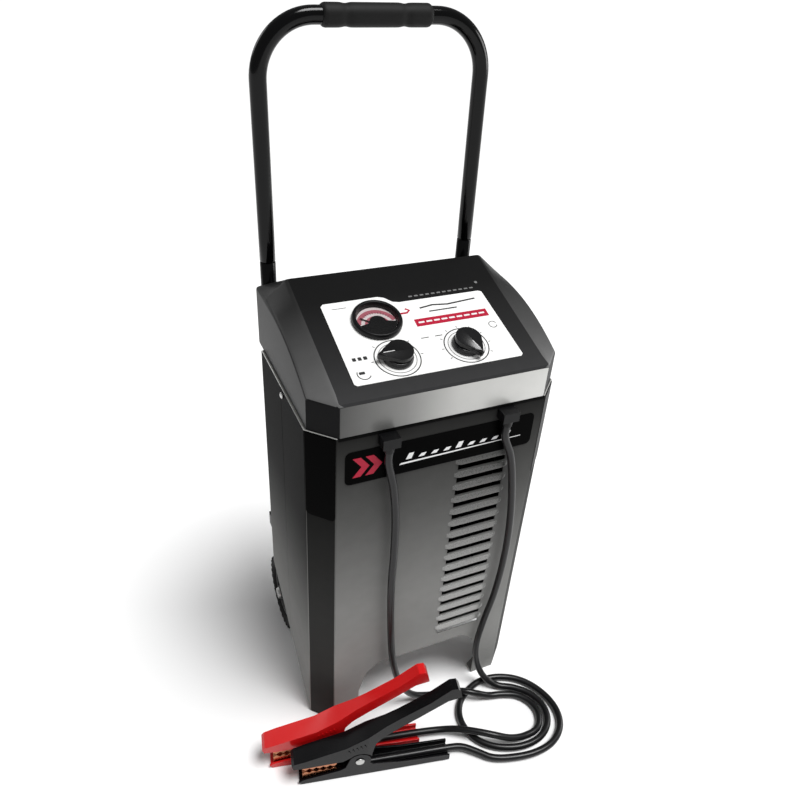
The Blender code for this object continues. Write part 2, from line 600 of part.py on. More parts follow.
def make_insides(mats):
    floor = BASE_Z + 0.002 + GAP
    x, y = -0.040, -0.035
    core = block((x - 0.060, y - 0.030, floor), (x + 0.060, y + 0.030, floor + 0.100))
    obj = link("transformer_core", closed_mesh("transformer_core", core), mats["core_steel"])
    windows = bmesh.new()
    for side in (-1, 1):
        edges = sorted((x + side * 0.020, x + side * 0.040))
        block((edges[0], y - 0.05, floor + 0.020), (edges[1], y + 0.05, floor + 0.080), windows)
    boolean(obj, windows, "windows")
    coil = block((x - 0.0395, y - 0.049, floor + 0.0205), (x + 0.0395, y + 0.049, floor + 0.0795))
    winding = link("transformer_winding", closed_mesh("transformer_winding", coil), mats["copper"])
    leg = block((x - 0.0204, y - 0.0304, floor), (x + 0.0204, y + 0.0304, floor + 0.1))
    boolean(winding, leg, "leg")
    plate = block((-0.120, BACK_Y - 0.012, 0.300), (0.000, BACK_Y - 0.008, 0.390))
    rectifier = link("rectifier_plate", closed_mesh("rectifier_plate", plate), mats["aluminium"])
    studs = bmesh.new()
    for i in range(2):
        for j in range(2):
            turned([(0, BACK_Y - 0.024), (0.009, BACK_Y - 0.024), (0.009, BACK_Y - 0.011), (0, BACK_Y - 0.011)], 16,
                   "y", studs, (-0.090 + 0.060 * i, 0, 0.322 + 0.046 * j))
    boolean(rectifier, studs, "diodes", "UNION")
    breaker = block((0.090, 0.020, floor), (0.130, 0.050, floor + 0.045))
    link("circuit_breaker", closed_mesh("circuit_breaker", breaker), mats["black_plastic"])
    fan_at = (0.058, FRONT_Y + 0.030, 0.290)
    frame = block((fan_at[0] - 0.060, fan_at[1] - 0.012, fan_at[2] - 0.060),
                  (fan_at[0] + 0.060, fan_at[1] + 0.012, fan_at[2] + 0.060))
    fan = link("fan_frame", closed_mesh("fan_frame", frame), mats["black_plastic"])
    hole = turned([(0, -0.03), (0.055, -0.03), (0.055, 0.03), (0, 0.03)], 32, "y", at=fan_at)
    boolean(fan, hole, "air_hole")
    bars = bmesh.new()
    block((fan_at[0] - 0.058, fan_at[1] + 0.0085, fan_at[2] - 0.004),
          (fan_at[0] + 0.058, fan_at[1] + 0.0115, fan_at[2] + 0.004), bars)
    boolean(fan, bars, "motor_bar", "UNION")
    hub = turned([(0, -0.010), (0.018, -0.010), (0.018, 0.008), (0, 0.008)], 24, "y")
    rotor = link("fan_rotor", closed_mesh("fan_rotor", hub), mats["black_plastic"])
    rotor.location = fan_at
    blades = bmesh.new()
    for i in range(5):
        blade = block((0.015, -0.0010, -0.011), (0.051, 0.0010, 0.011))
        turn = Matrix.Rotation(2 * math.pi * i / 5, 4, "Y") @ Matrix.Rotation(math.radians(32), 4, "X")
        bmesh.ops.transform(blade, matrix=turn, verts=blade.verts)
        piece = bpy.data.meshes.new("blade")
        blade.to_mesh(piece)
        blade.free()
        blades.from_mesh(piece)
    tool = boolean(rotor, blades, "blades", "UNION").object
    tool.location = fan_at


def make_glands(mats):
    for colour, x in GLAND_X.items():
        name = f"cable_gland_{colour}"
        body = block((x - 0.011, FRONT_Y - 0.0165, GLAND_Z - 0.0135), (x + 0.011, FRONT_Y - GAP, GLAND_Z))
        obj = link(name, closed_mesh(name, body), mats["black_plastic"])
        boot = turned([(0, 0.5088), (0.0060, 0.5088), (0.0075, GLAND_Z - 0.010), (0, GLAND_Z - 0.010)], 20,
                      at=(x, CORD_DROP_Y, 0))
        boolean(obj, boot, "boot", "UNION")
    profile = [(0, BACK_Y - 0.004), (0.0080, BACK_Y - 0.004), (0.0080, BACK_Y + GAP), (0.0120, BACK_Y + GAP),
               (0.0120, BACK_Y + 0.008), (0.0090, BACK_Y + 0.012), (0, BACK_Y + 0.012)]
    link("mains_cord_gland", closed_mesh("mains_cord_gland", turned(profile, 24, "y", at=(0.075, 0, 0.200))),
         mats["black_plastic"])


def smooth_route(points, step):
    """Evenly spaced points on a smooth curve through the route's own points."""
    spots = [Vector(p) for p in points]
    fine = []
    for i in range(len(spots) - 1):
        a, b = spots[i], spots[i + 1]
        before = spots[max(i - 1, 0)]
        after = spots[min(i + 2, len(spots) - 1)]
        reach = (b - a).length / 3
        start = a + ((b - before).normalized() * reach if i else (b - a) / 3)
        end = b - (after - a).normalized() * reach
        fine += interpolate_bezier(a, start, end, b, 13)[:-1]
    fine.append(spots[-1])
    lengths = np.cumsum([0] + [(q - p).length for p, q in zip(fine, fine[1:])])
    wanted = np.linspace(0, lengths[-1], int(round(lengths[-1] / step)) + 1)
    return [[float(np.interp(s, lengths, [p[k] for p in fine])) for k in range(3)] for s in wanted]


def make_cords(mats):
    for colour, route in ROUTES.items():
        name = f"output_cable_{colour}"
        curve = bpy.data.curves.new(name, "CURVE")
        curve.dimensions = "3D"
        points = smooth_route(route, 0.0215)
        spline = curve.splines.new("POLY")
        spline.points.add(len(points) - 1)
        for place, point in zip(spline.points, points):
            place.co = (*point, 1)
        curve.bevel_depth = CORD_R
        curve.bevel_resolution = 2
        curve.use_fill_caps = True
        link(name, curve, mats["cord_rubber"])


def clamp_outlines():
    """The side views of the clamp's lower and upper halves, along the clamp and up."""
    px, pz = PIVOT
    lower = [(0.004, 0.0), (0.100, 0.0), (0.218, 0.001), (0.218, 0.0125), (0.150, 0.0150), (0.106, 0.0220)]
    lower += arc(px, pz, 0.0160, -25, 150, 12)
    lower += [(0.066, 0.0235), (0.058, 0.0190), (0.008, 0.0100), (0.0, 0.0055)]
    upper = [(-0.006, 0.0380), (0.0620, 0.0400)]
    upper += arc(px, pz, 0.0178, 138, 24, 10)
    upper += [(0.1057, 0.0600), (0.1080, 0.0685), (0.1160, 0.0768), (0.1343, 0.0890), (0.1720, 0.1150),
              (0.2050, 0.1390), (0.2240, 0.1440), (0.2215, 0.1560), (0.2170, 0.1640), (0.2080, 0.1640),
              (0.1800, 0.1400), (0.1360, 0.1120), (0.0980, 0.0890), (0.0670, 0.0710), (0.0066, 0.0535),
              (-0.0050, 0.0500), (-0.0085, 0.0455)]
    return lower, upper


def clamp_plan():
    """The upper half seen from above: a wide body that narrows to a slim handle."""
    side = [(-0.020, 0.0115), (-0.004, 0.0122), (0.010, CLAMP_HALF), (0.096, CLAMP_HALF), (0.122, 0.0092),
            (0.140, 0.0084), (0.235, 0.0084)]
    return side + [(x, -y) for x, y in side[::-1]]


def clamp_object(name, bm, mat, frame):
    return link(name, closed_mesh(name, bm, 30), mat, frame)


def make_clamp(mats, colour):
    frame = empty(f"clamp_frame_{colour}", CLAMP_AT[colour], (0, 0, CLAMP_TURN))
    pivot = empty(f"clamp_pivot_{colour}", (PIVOT[0], 0, PIVOT[1]), parent=frame)
    px, pz = PIVOT
    lower, upper = clamp_outlines()
    half = CLAMP_HALF
    name = f"clamp_{colour}_lower"
    obj = clamp_object(name, outline_prism(lower, "y", -half, half), mats[f"clamp_{colour}"], frame)
    channel = [(-0.02, 0.0035), (0.24, 0.0035), (0.24, 0.08), (-0.02, 0.08)]
    boolean(obj, outline_prism(channel, "y", -half + 0.0026, half - 0.0026), "channel", parent=frame)
    bore = [(0, -0.02), (0.0046, -0.02), (0.0046, 0.02), (0, 0.02)]
    boolean(obj, turned(bore, 16, "y", at=(px, 0, pz)), "pivot_bore", parent=frame)
    name = f"clamp_{colour}_upper"
    at_pivot = [(x - px, z - pz) for x, z in upper]
    obj = clamp_object(name, outline_prism(at_pivot, "y", -half, half), mats[f"clamp_{colour}"], pivot)
    plan = [(x - px, y) for x, y in clamp_plan()]
    boolean(obj, outline_prism(plan, "z", -0.05, 0.15), "plan", "INTERSECT", pivot)
    inside = [(-0.0835, 0.0110), (-0.030, 0.0270), (0.005, 0.0395), (0.0125, 0.0440), (0.0125, -0.020),
              (-0.0835, -0.020)]
    boolean(obj, outline_prism(inside, "y", -half + 0.0036, half - 0.0036), "channel", parent=pivot)
    ears = bmesh.new()
    ear = arc(0, 0, 0.0105, 190, 350, 8) + [(0.0165, 0.030), (-0.0140, 0.030)]
    for side in (-1, 1):
        outline_prism(ear, "y", *sorted((side * 0.0072, side * 0.0100)), ears)
    boolean(obj, ears, "ears", "UNION", pivot)
    boolean(obj, turned(bore, 16, "y"), "pivot_bore", parent=pivot)
    rivet = [(0, -half - 0.0022), (0.0060, -half - 0.0018), (0.0066, -half - GAP), (0.0042, -half - GAP),
             (0.0042, half + GAP), (0.0066, half + GAP), (0.0060, half + 0.0018), (0, half + 0.0022)]
    clamp_object(f"clamp_{colour}_rivet", turned(rivet, 20, "y", at=(px, 0, pz)), mats["zinc"], frame)
    spring = [(0.0052, -0.0066), (0.0085, -0.0066), (0.0085, 0.0066), (0.0052, 0.0066)]
    clamp_object(f"clamp_{colour}_spring", turned(spring, 20, "y", at=(px, 0, pz)), mats["spring_steel"], frame)
    for which, holder in (("lower", frame), ("upper", pivot)):
        teeth = jaw_outline(which)
        if which == "upper":
            teeth = [(x - px, z - pz) for x, z in teeth]
        bm = outline_prism(teeth, "y", -half + 0.0040, half - 0.0040)
        clamp_object(f"clamp_{colour}_{which}_jaw", bm, mats["copper"], holder)


def jaw_outline(which):
    """A copper jaw's side view: a row of teeth on a strip."""
    count = 5
    first, last = 0.006, 0.054
    tips = []
    for i in range(count):
        left = first + (last - first) * i / count
        middle = left + (last - first) / count / 2
        tips += [(left, 0.0), (middle, 0.0042)]
    tips.append((last, 0.0))
    if which == "lower":
        return [(x, 0.0190 + h) for x, h in tips] + [(last, 0.0038), (first, 0.0038)]
    return [(x, 0.0300 - h) for x, h in tips] + [(last, 0.0602), (first, 0.0458)]


def main():
    clear_scene()
    mats = {
        "grey_paint": material("grey_paint", (0.16, 0.16, 0.155), 0.38, 0.6),
        "black_paint": material("black_paint", (0.008, 0.008, 0.009), 0.16),
        "black_plastic": material("black_plastic", (0.018, 0.018, 0.019), 0.42),
        "grip_rubber": material("grip_rubber", (0.014, 0.014, 0.014), 0.72),
        "white_label": material("white_label", (0.86, 0.86, 0.85), 0.42),
        "black_label": material("black_label", (0.010, 0.010, 0.011), 0.22),
        "dial_face": material("dial_face", (0.85, 0.62, 0.64), 0.50),
        "clear_lens": material("clear_lens", (0.95, 0.96, 0.97), 0.04, 0.0, 0.25),
        "zinc": material("zinc", (0.56, 0.56, 0.55), 0.34, 1.0),
        "spring_steel": material("spring_steel", (0.35, 0.35, 0.35), 0.30, 1.0),
        "tyre_rubber": material("tyre_rubber", (0.022, 0.022, 0.022), 0.80),
        "hub_plastic": material("hub_plastic", (0.045, 0.045, 0.045), 0.50),
        "cord_rubber": material("cord_rubber", (0.016, 0.016, 0.016), 0.48),
        "clamp_red": material("clamp_red", (0.60, 0.014, 0.012), 0.28),
        "clamp_black": material("clamp_black", (0.014, 0.014, 0.015), 0.34),
        "copper": material("copper", (0.60, 0.28, 0.16), 0.28, 1.0),
        "core_steel": material("core_steel", (0.20, 0.19, 0.18), 0.55, 0.8),
        "aluminium": material("aluminium", (0.62, 0.63, 0.64), 0.35, 1.0),
        "brown_board": material("brown_board", (0.20, 0.11, 0.06), 0.60),
    }
    panel = empty("panel_frame", PANEL_ORIGIN, (PANEL_TILT, 0, 0))
    make_front_shell(mats)
    make_rear_shell(mats)
    make_plates(mats)
    make_screws(mats)
    make_decals(mats)
    make_cap(mats, panel)
    make_panel(mats, panel)
    make_ammeter(mats, panel)
    make_knob(mats, panel, "rate", RATE_AT, 90)
    make_knob(mats, panel, "timer", TIMER_AT, 196)
    make_switches(mats, panel)
    make_handle(mats)
    make_wheels(mats)
    make_insides(mats)
    make_glands(mats)
    make_cords(mats)
    for colour in CLAMP_AT:
        make_clamp(mats, colour)


main()
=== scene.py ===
"""Looks of the wheeled car battery charger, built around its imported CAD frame.

Metres, +Z up, front towards -Y."""

import json
import math

import bmesh
import bpy
import numpy as np
from mathutils import Matrix, Vector
from mathutils.geometry import interpolate_bezier


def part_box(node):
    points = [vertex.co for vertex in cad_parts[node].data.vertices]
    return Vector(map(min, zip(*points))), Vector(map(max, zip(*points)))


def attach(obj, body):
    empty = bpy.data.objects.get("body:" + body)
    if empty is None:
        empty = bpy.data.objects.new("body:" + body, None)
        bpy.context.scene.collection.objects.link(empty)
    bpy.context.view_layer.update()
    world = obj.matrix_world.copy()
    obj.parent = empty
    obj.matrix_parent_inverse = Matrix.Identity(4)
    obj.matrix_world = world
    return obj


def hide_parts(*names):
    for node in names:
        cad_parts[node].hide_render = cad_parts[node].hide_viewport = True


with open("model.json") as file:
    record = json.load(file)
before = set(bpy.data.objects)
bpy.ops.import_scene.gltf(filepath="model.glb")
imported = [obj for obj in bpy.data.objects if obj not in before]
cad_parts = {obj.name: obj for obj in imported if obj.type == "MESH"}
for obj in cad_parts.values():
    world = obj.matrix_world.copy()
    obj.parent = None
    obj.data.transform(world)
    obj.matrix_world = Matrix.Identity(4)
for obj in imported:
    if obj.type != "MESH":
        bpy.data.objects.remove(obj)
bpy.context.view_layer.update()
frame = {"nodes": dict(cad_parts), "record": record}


def middle(node, axis):
    low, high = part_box(node)
    return (low[axis] + high[axis]) / 2


# ---------------------------------------------------------------- sizes read from the frame
JOINTS = {joint["name"]: joint for joint in frame["record"]["behaviour"]["joints"]}
FRONT_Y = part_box("front_shell")[0].y
HALF_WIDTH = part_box("front_shell")[1].x
DECK_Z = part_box("deck_plate")[1].z
BACK_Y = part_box("rear_shell")[1].y
CAP_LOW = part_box("top_cap")[0]
TUBE_X = middle("frame_tube_right", 0)
TUBE_Y = middle("frame_tube_right", 1)
JOINT_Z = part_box("frame_tube_right")[1].z
TUBE_R = (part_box("frame_tube_right")[1].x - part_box("frame_tube_right")[0].x) / 2
HANDLE_TOP_Z = middle("handle_grip", 2)
HANDLE_TOP_Y = middle("handle_grip", 1)
GRIP_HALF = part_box("handle_grip")[1].x

# ---------------------------------------------------------------- sizes shared with the CAD
FRONT_HALF = 0.1355
CHAMFER = 0.030
LOUVRE_COUNT = 16
LOUVRE_X = (0.024, 0.092)
LOUVRE_Z = (0.135, 0.451)
LOUVRE_HEIGHT = 0.0105
CAP_HALF = 0.162
CAP_FRONT_HALF = 0.133
CAP_BAND = 0.0425
CAP_BACK_Y = 0.112
CAP_RIDGE = 0.195
PANEL_TILT = math.radians(17.3)
PANEL_ORIGIN = Vector((0, -0.1173, DECK_Z + 0.0515))
PANEL_HALF = 0.134
AMMETER_AT = (-0.049, 0.090)
RATE_AT = (-0.0455, 0.0295)
TIMER_AT = (0.0445, 0.0305)
BEND_R = 0.066
CORD_R = 0.005
GLAND_X = {"black": 0.080, "red": -0.0755}
CORD_DROP_Y = FRONT_Y - 0.0085
CLAMP_TURN = math.radians(-11.9)
CLAMP_AT = {"black": Vector((-0.2117, -0.1993, 0)), "red": Vector((-0.2427, -0.1613, 0))}
CLAMP_HALF = 0.013
PIVOT = (0.086, 0.0345)

# ---------------------------------------------------------------- sizes of the looks only
LABEL_LOW, LABEL_TOP = 0.0003, 0.0010
PRINT = 0.00012
LAMP_AT = (0.105, 0.132, 0.0)
GAUGE_HOLE_R = 0.0268
# Columns of the cap's outline on its sloping shoulders, which get the lighter copy of the cap plastic: a
# painted reflection.
CAP_BEVEL_RUN = range(3, 9)
MARK_MIDDLE = 0.4885
MARK_THICK = 0.0002
KNOB_RIDGES = 36
TREAD_LUGS = 30
HUB_RIBS = 6

ROUTES = {
    "red": [
        (GLAND_X["red"], CORD_DROP_Y, 0.5083), (GLAND_X["red"], CORD_DROP_Y, 0.492),
        (-0.0680, -0.1480, 0.455),
        (-0.0630, -0.1490, 0.405), (-0.0620, -0.1500, 0.342), (-0.0625, -0.1500, 0.284),
        (-0.0590, -0.1500, 0.200), (-0.0530, -0.1500, 0.130), (-0.0440, -0.1500, 0.082),
        (-0.0310, -0.1505, 0.044), (-0.0130, -0.1515, 0.018), (0.0100, -0.1535, 0.0065),
        (0.0340, -0.1590, 0.0065), (0.0520, -0.1670, 0.0125), (0.0670, -0.1765, 0.0175),
        (0.0830, -0.1845, 0.0140), (0.1010, -0.1895, 0.0065), (0.1230, -0.1950, 0.0052),
        (0.1450, -0.2060, 0.0052), (0.1585, -0.2270, 0.0052), (0.1570, -0.2490, 0.0052),
        (0.1430, -0.2650, 0.0052), (0.1180, -0.2685, 0.0060), (0.0940, -0.2660, 0.0120),
        (0.0720, -0.2570, 0.0188), (0.0500, -0.2430, 0.0195), (0.0280, -0.2280, 0.0160),
        (0.0060, -0.2160, 0.0100), (-0.0294, -0.2063, 0.0090), (-0.0881, -0.1939, 0.0090),
        (-0.1449, -0.1819, 0.0090),
    ],
    "black": [
        (GLAND_X["black"], CORD_DROP_Y, 0.5083), (GLAND_X["black"], CORD_DROP_Y, 0.492),
        (0.0920, -0.1480, 0.460),
        (0.1010, -0.1490, 0.415), (0.1090, -0.1500, 0.345), (0.1110, -0.1500, 0.274),
        (0.1060, -0.1500, 0.201), (0.0950, -0.1500, 0.138), (0.0900, -0.1505, 0.088),
        (0.0940, -0.1550, 0.048), (0.1060, -0.1660, 0.0180), (0.1230, -0.1785, 0.0065),
        (0.1450, -0.1905, 0.0052), (0.1640, -0.2090, 0.0052), (0.1730, -0.2350, 0.0052),
        (0.1650, -0.2610, 0.0052), (0.1430, -0.2775, 0.0052), (0.1120, -0.2810, 0.0052),
        (0.0800, -0.2720, 0.0052), (0.0560, -0.2550, 0.0052), (0.0430, -0.2320, 0.0052),
        (0.0420, -0.2070, 0.0052), (0.0530, -0.1850, 0.0052), (0.0750, -0.1690, 0.0052),
        (0.1030, -0.1610, 0.0052), (0.1350, -0.1660, 0.0052), (0.1640, -0.1840, 0.0052),
        (0.1830, -0.2130, 0.0052), (0.1890, -0.2460, 0.0052), (0.1790, -0.2740, 0.0052),
        (0.1540, -0.2920, 0.0052), (0.1200, -0.2965, 0.0052), (0.0830, -0.2900, 0.0052),
        (0.0570, -0.2800, 0.0058), (0.0390, -0.2640, 0.0072), (0.0220, -0.2505, 0.0086),
        (0.0016, -0.2443, 0.0090), (-0.0571, -0.2319, 0.0090), (-0.1139, -0.2199, 0.0090),
    ],
}

PANEL = Matrix.Translation(PANEL_ORIGIN) @ Matrix.Rotation(PANEL_TILT, 4, "X")


def clamp_matrix(colour):
    return Matrix.Translation(CLAMP_AT[colour]) @ Matrix.Rotation(CLAMP_TURN, 4, "Z")


# ---------------------------------------------------------------- camera
def make_camera():
    """The photo's viewpoint, as solved from its perspective."""
    spot = Vector((-0.35236, -0.74490, 1.03108))
    yaw, pitch, roll = 0.446, -0.599, 0.067
    forward = Vector((math.sin(yaw) * math.cos(pitch), math.cos(yaw) * math.cos(pitch), math.sin(pitch)))
    level = Vector((math.cos(yaw), -math.sin(yaw), 0))
    rise = level.cross(forward)
    right = math.cos(roll) * level + math.sin(roll) * rise
    above = -math.sin(roll) * level + math.cos(roll) * rise
    data = bpy.data.cameras.new("camera")
    data.lens = 33.04
    data.sensor_width = 36
    camera = bpy.data.objects.new("camera", data)
    bpy.context.scene.collection.objects.link(camera)
    turn = Matrix((right, above, -forward)).transposed().to_4x4()
    camera.matrix_world = Matrix.Translation(spot) @ turn
    bpy.context.scene.camera = camera


# ---------------------------------------------------------------- materials
def scaled(colour, factor):
    return (*(min(1.0, c * factor) for c in colour), 1)


def noise(nodes, scale, detail):
    texture = nodes.new("ShaderNodeTexNoise")
    texture.inputs["Scale"].default_value = scale
    texture.inputs["Detail"].default_value = detail
    return texture


def share_along(nodes, links, split, axis, low, high):
    """A value that goes from 0 to 1 between two places on an axis."""
    share = nodes.new("ShaderNodeMapRange")
    share.inputs["From Min"].default_value = low
    share.inputs["From Max"].default_value = high
    links.new(split.outputs[axis], share.inputs["Value"])
    return share.outputs["Result"]


def shaded(nodes, links, split, colour, ramp):
    """A colour made brighter or darker along an axis, as one ramp says."""
    axis, low, high, stops, where = ramp
    band = nodes.new("ShaderNodeValToRGB")
    for share, _ in stops[1:-1]:
        band.color_ramp.elements.new(share)
    for element, (share, brightness) in zip(band.color_ramp.elements, stops):
        element.position = share
        element.color = (brightness, brightness, brightness, 1)
    links.new(share_along(nodes, links, split, axis, low, high), band.inputs["Fac"])
    shade = nodes.new("ShaderNodeMix")
    shade.data_type = "RGBA"
    shade.blend_type = "MULTIPLY"
    shade.inputs["Factor"].default_value = 1
    if where:
        links.new(share_along(nodes, links, split, *where), shade.inputs["Factor"])
    links.new(colour, shade.inputs["A"])
    links.new(band.outputs["Color"], shade.inputs["B"])
    return shade.outputs["Result"]


def surface(name, colour, roughness, metallic=0.0, spread=0.12, grain=500.0, bump=0.10, coat=0.0,
            stretch=(1, 1, 1), ramps=(), wear=0.06, specular=0.5):
    """A procedural finish: broad colour drift, and fine grain in roughness and height.

    A ramp is (axis, low, high, [(share, brightness), ...], where) in the piece's own metres, and
    multiplies the colour with painted shade and reflection. Its where is (axis, none, full), the stretch over
    which it comes in, or
    None for everywhere."""
    mat = bpy.data.materials.new(name)
    mat.use_nodes = True
    nodes, links = mat.node_tree.nodes, mat.node_tree.links
    shader = nodes["Principled BSDF"]
    coords = nodes.new("ShaderNodeTexCoord")
    mapping = nodes.new("ShaderNodeMapping")
    mapping.inputs["Scale"].default_value = stretch
    links.new(coords.outputs["Object"], mapping.inputs["Vector"])
    broad = noise(nodes, grain / 18, 5)
    fine = noise(nodes, grain, 3)
    for texture in (broad, fine):
        links.new(mapping.outputs["Vector"], texture.inputs["Vector"])
    tint = nodes.new("ShaderNodeMix")
    tint.data_type = "RGBA"
    tint.inputs["A"].default_value = scaled(colour, 1 - spread)
    tint.inputs["B"].default_value = scaled(colour, 1 + spread)
    links.new(broad.outputs["Fac"], tint.inputs["Factor"])
    result = tint.outputs["Result"]
    split = nodes.new("ShaderNodeSeparateXYZ")
    links.new(coords.outputs["Object"], split.inputs["Vector"])
    # The ramps multiply painted shade and reflections into the colour.
    for ramp in ramps:
        result = shaded(nodes, links, split, result, ramp)
    links.new(result, shader.inputs["Base Color"])
    rough = nodes.new("ShaderNodeMapRange")
    rough.inputs["To Min"].default_value = max(0.02, roughness - wear)
    rough.inputs["To Max"].default_value = min(1.0, roughness + wear)
    links.new(fine.outputs["Fac"], rough.inputs["Value"])
    links.new(rough.outputs["Result"], shader.inputs["Roughness"])
    height = nodes.new("ShaderNodeBump")
    height.inputs["Strength"].default_value = bump
    height.inputs["Distance"].default_value = 0.0003
    links.new(fine.outputs["Fac"], height.inputs["Height"])
    links.new(height.outputs["Normal"], shader.inputs["Normal"])
    shader.inputs["Metallic"].default_value = metallic
    shader.inputs["Coat Weight"].default_value = coat
    shader.inputs["Coat Roughness"].default_value = 0.08
    shader.inputs["Specular IOR Level"].default_value = specular
    mat.diffuse_color = (*colour, 1)
    return mat


def see_through(name, opacity):
    """A clear window: nothing but a faint skin that carries the reflections."""
    mat = surface(name, (0.02, 0.02, 0.02), 0.05, spread=0.02, grain=120, bump=0.01, wear=0.02, specular=0.3)
    mat.node_tree.nodes["Principled BSDF"].inputs["Alpha"].default_value = opacity
    return mat


def make_ramps():
    """Brightness ramps that paint shade and reflections onto the painted and moulded pieces."""
    # Painted reflection: dark at the top and lighter towards the bottom, as if the paint reflected the pale
    # floor.
    height = ("Z", 0.0, DECK_Z, [(0.0, 0.95), (0.20, 1.0), (0.45, 0.82), (0.75, 0.34), (1.0, 0.06)], None)
    # Painted shade: both chamfers between the front and the sides are darkened.
    edges = [(0.0, 1.0), (0.04, 1.0), (0.05, 0.16), (0.95, 0.16), (0.96, 1.0)]
    # Painted shade on the side skins: near black under the cap, lighter towards the floor.
    side = [(0.0, 1.0), (0.30, 0.80), (0.55, 0.38), (0.72, 0.08), (0.84, 0.01), (1.0, 0.004)]
    # The painted side shade comes in only on the outer skin of each side, between these two widths.
    skin_in, skin_out = HALF_WIDTH - 0.0009, HALF_WIDTH - 0.0002
    # The cabinet gets the painted reflection down its height, painted shade on both chamfers and painted
    # shade at the top of both side skins.
    cabinet = [height]
    cabinet += [("X", turn * HALF_WIDTH, turn * FRONT_HALF, edges, None) for turn in (-1, 1)]
    cabinet += [("Z", 0.0, DECK_Z, side, ("X", turn * skin_in, turn * skin_out)) for turn in (-1, 1)]
    # Painted reflection on the cap's front band: dark at its left end, light at its right.
    across = [(0.0, 0.10), (0.30, 0.36), (0.55, 0.82), (1.0, 1.0)]
    band = [("X", -CAP_FRONT_HALF, CAP_FRONT_HALF, across, None)]
    # Painted reflection on the cap and its shoulders: light at the front, dark towards the back.
    backward = [(0.0, 0.9), (0.25, 0.45), (0.6, 0.12), (1.0, 0.08)]
    cap = [("Y", CAP_LOW.y, CAP_BACK_Y, backward, None)]
    return {"cabinet": cabinet, "hood": [height], "band": band, "cap": cap}


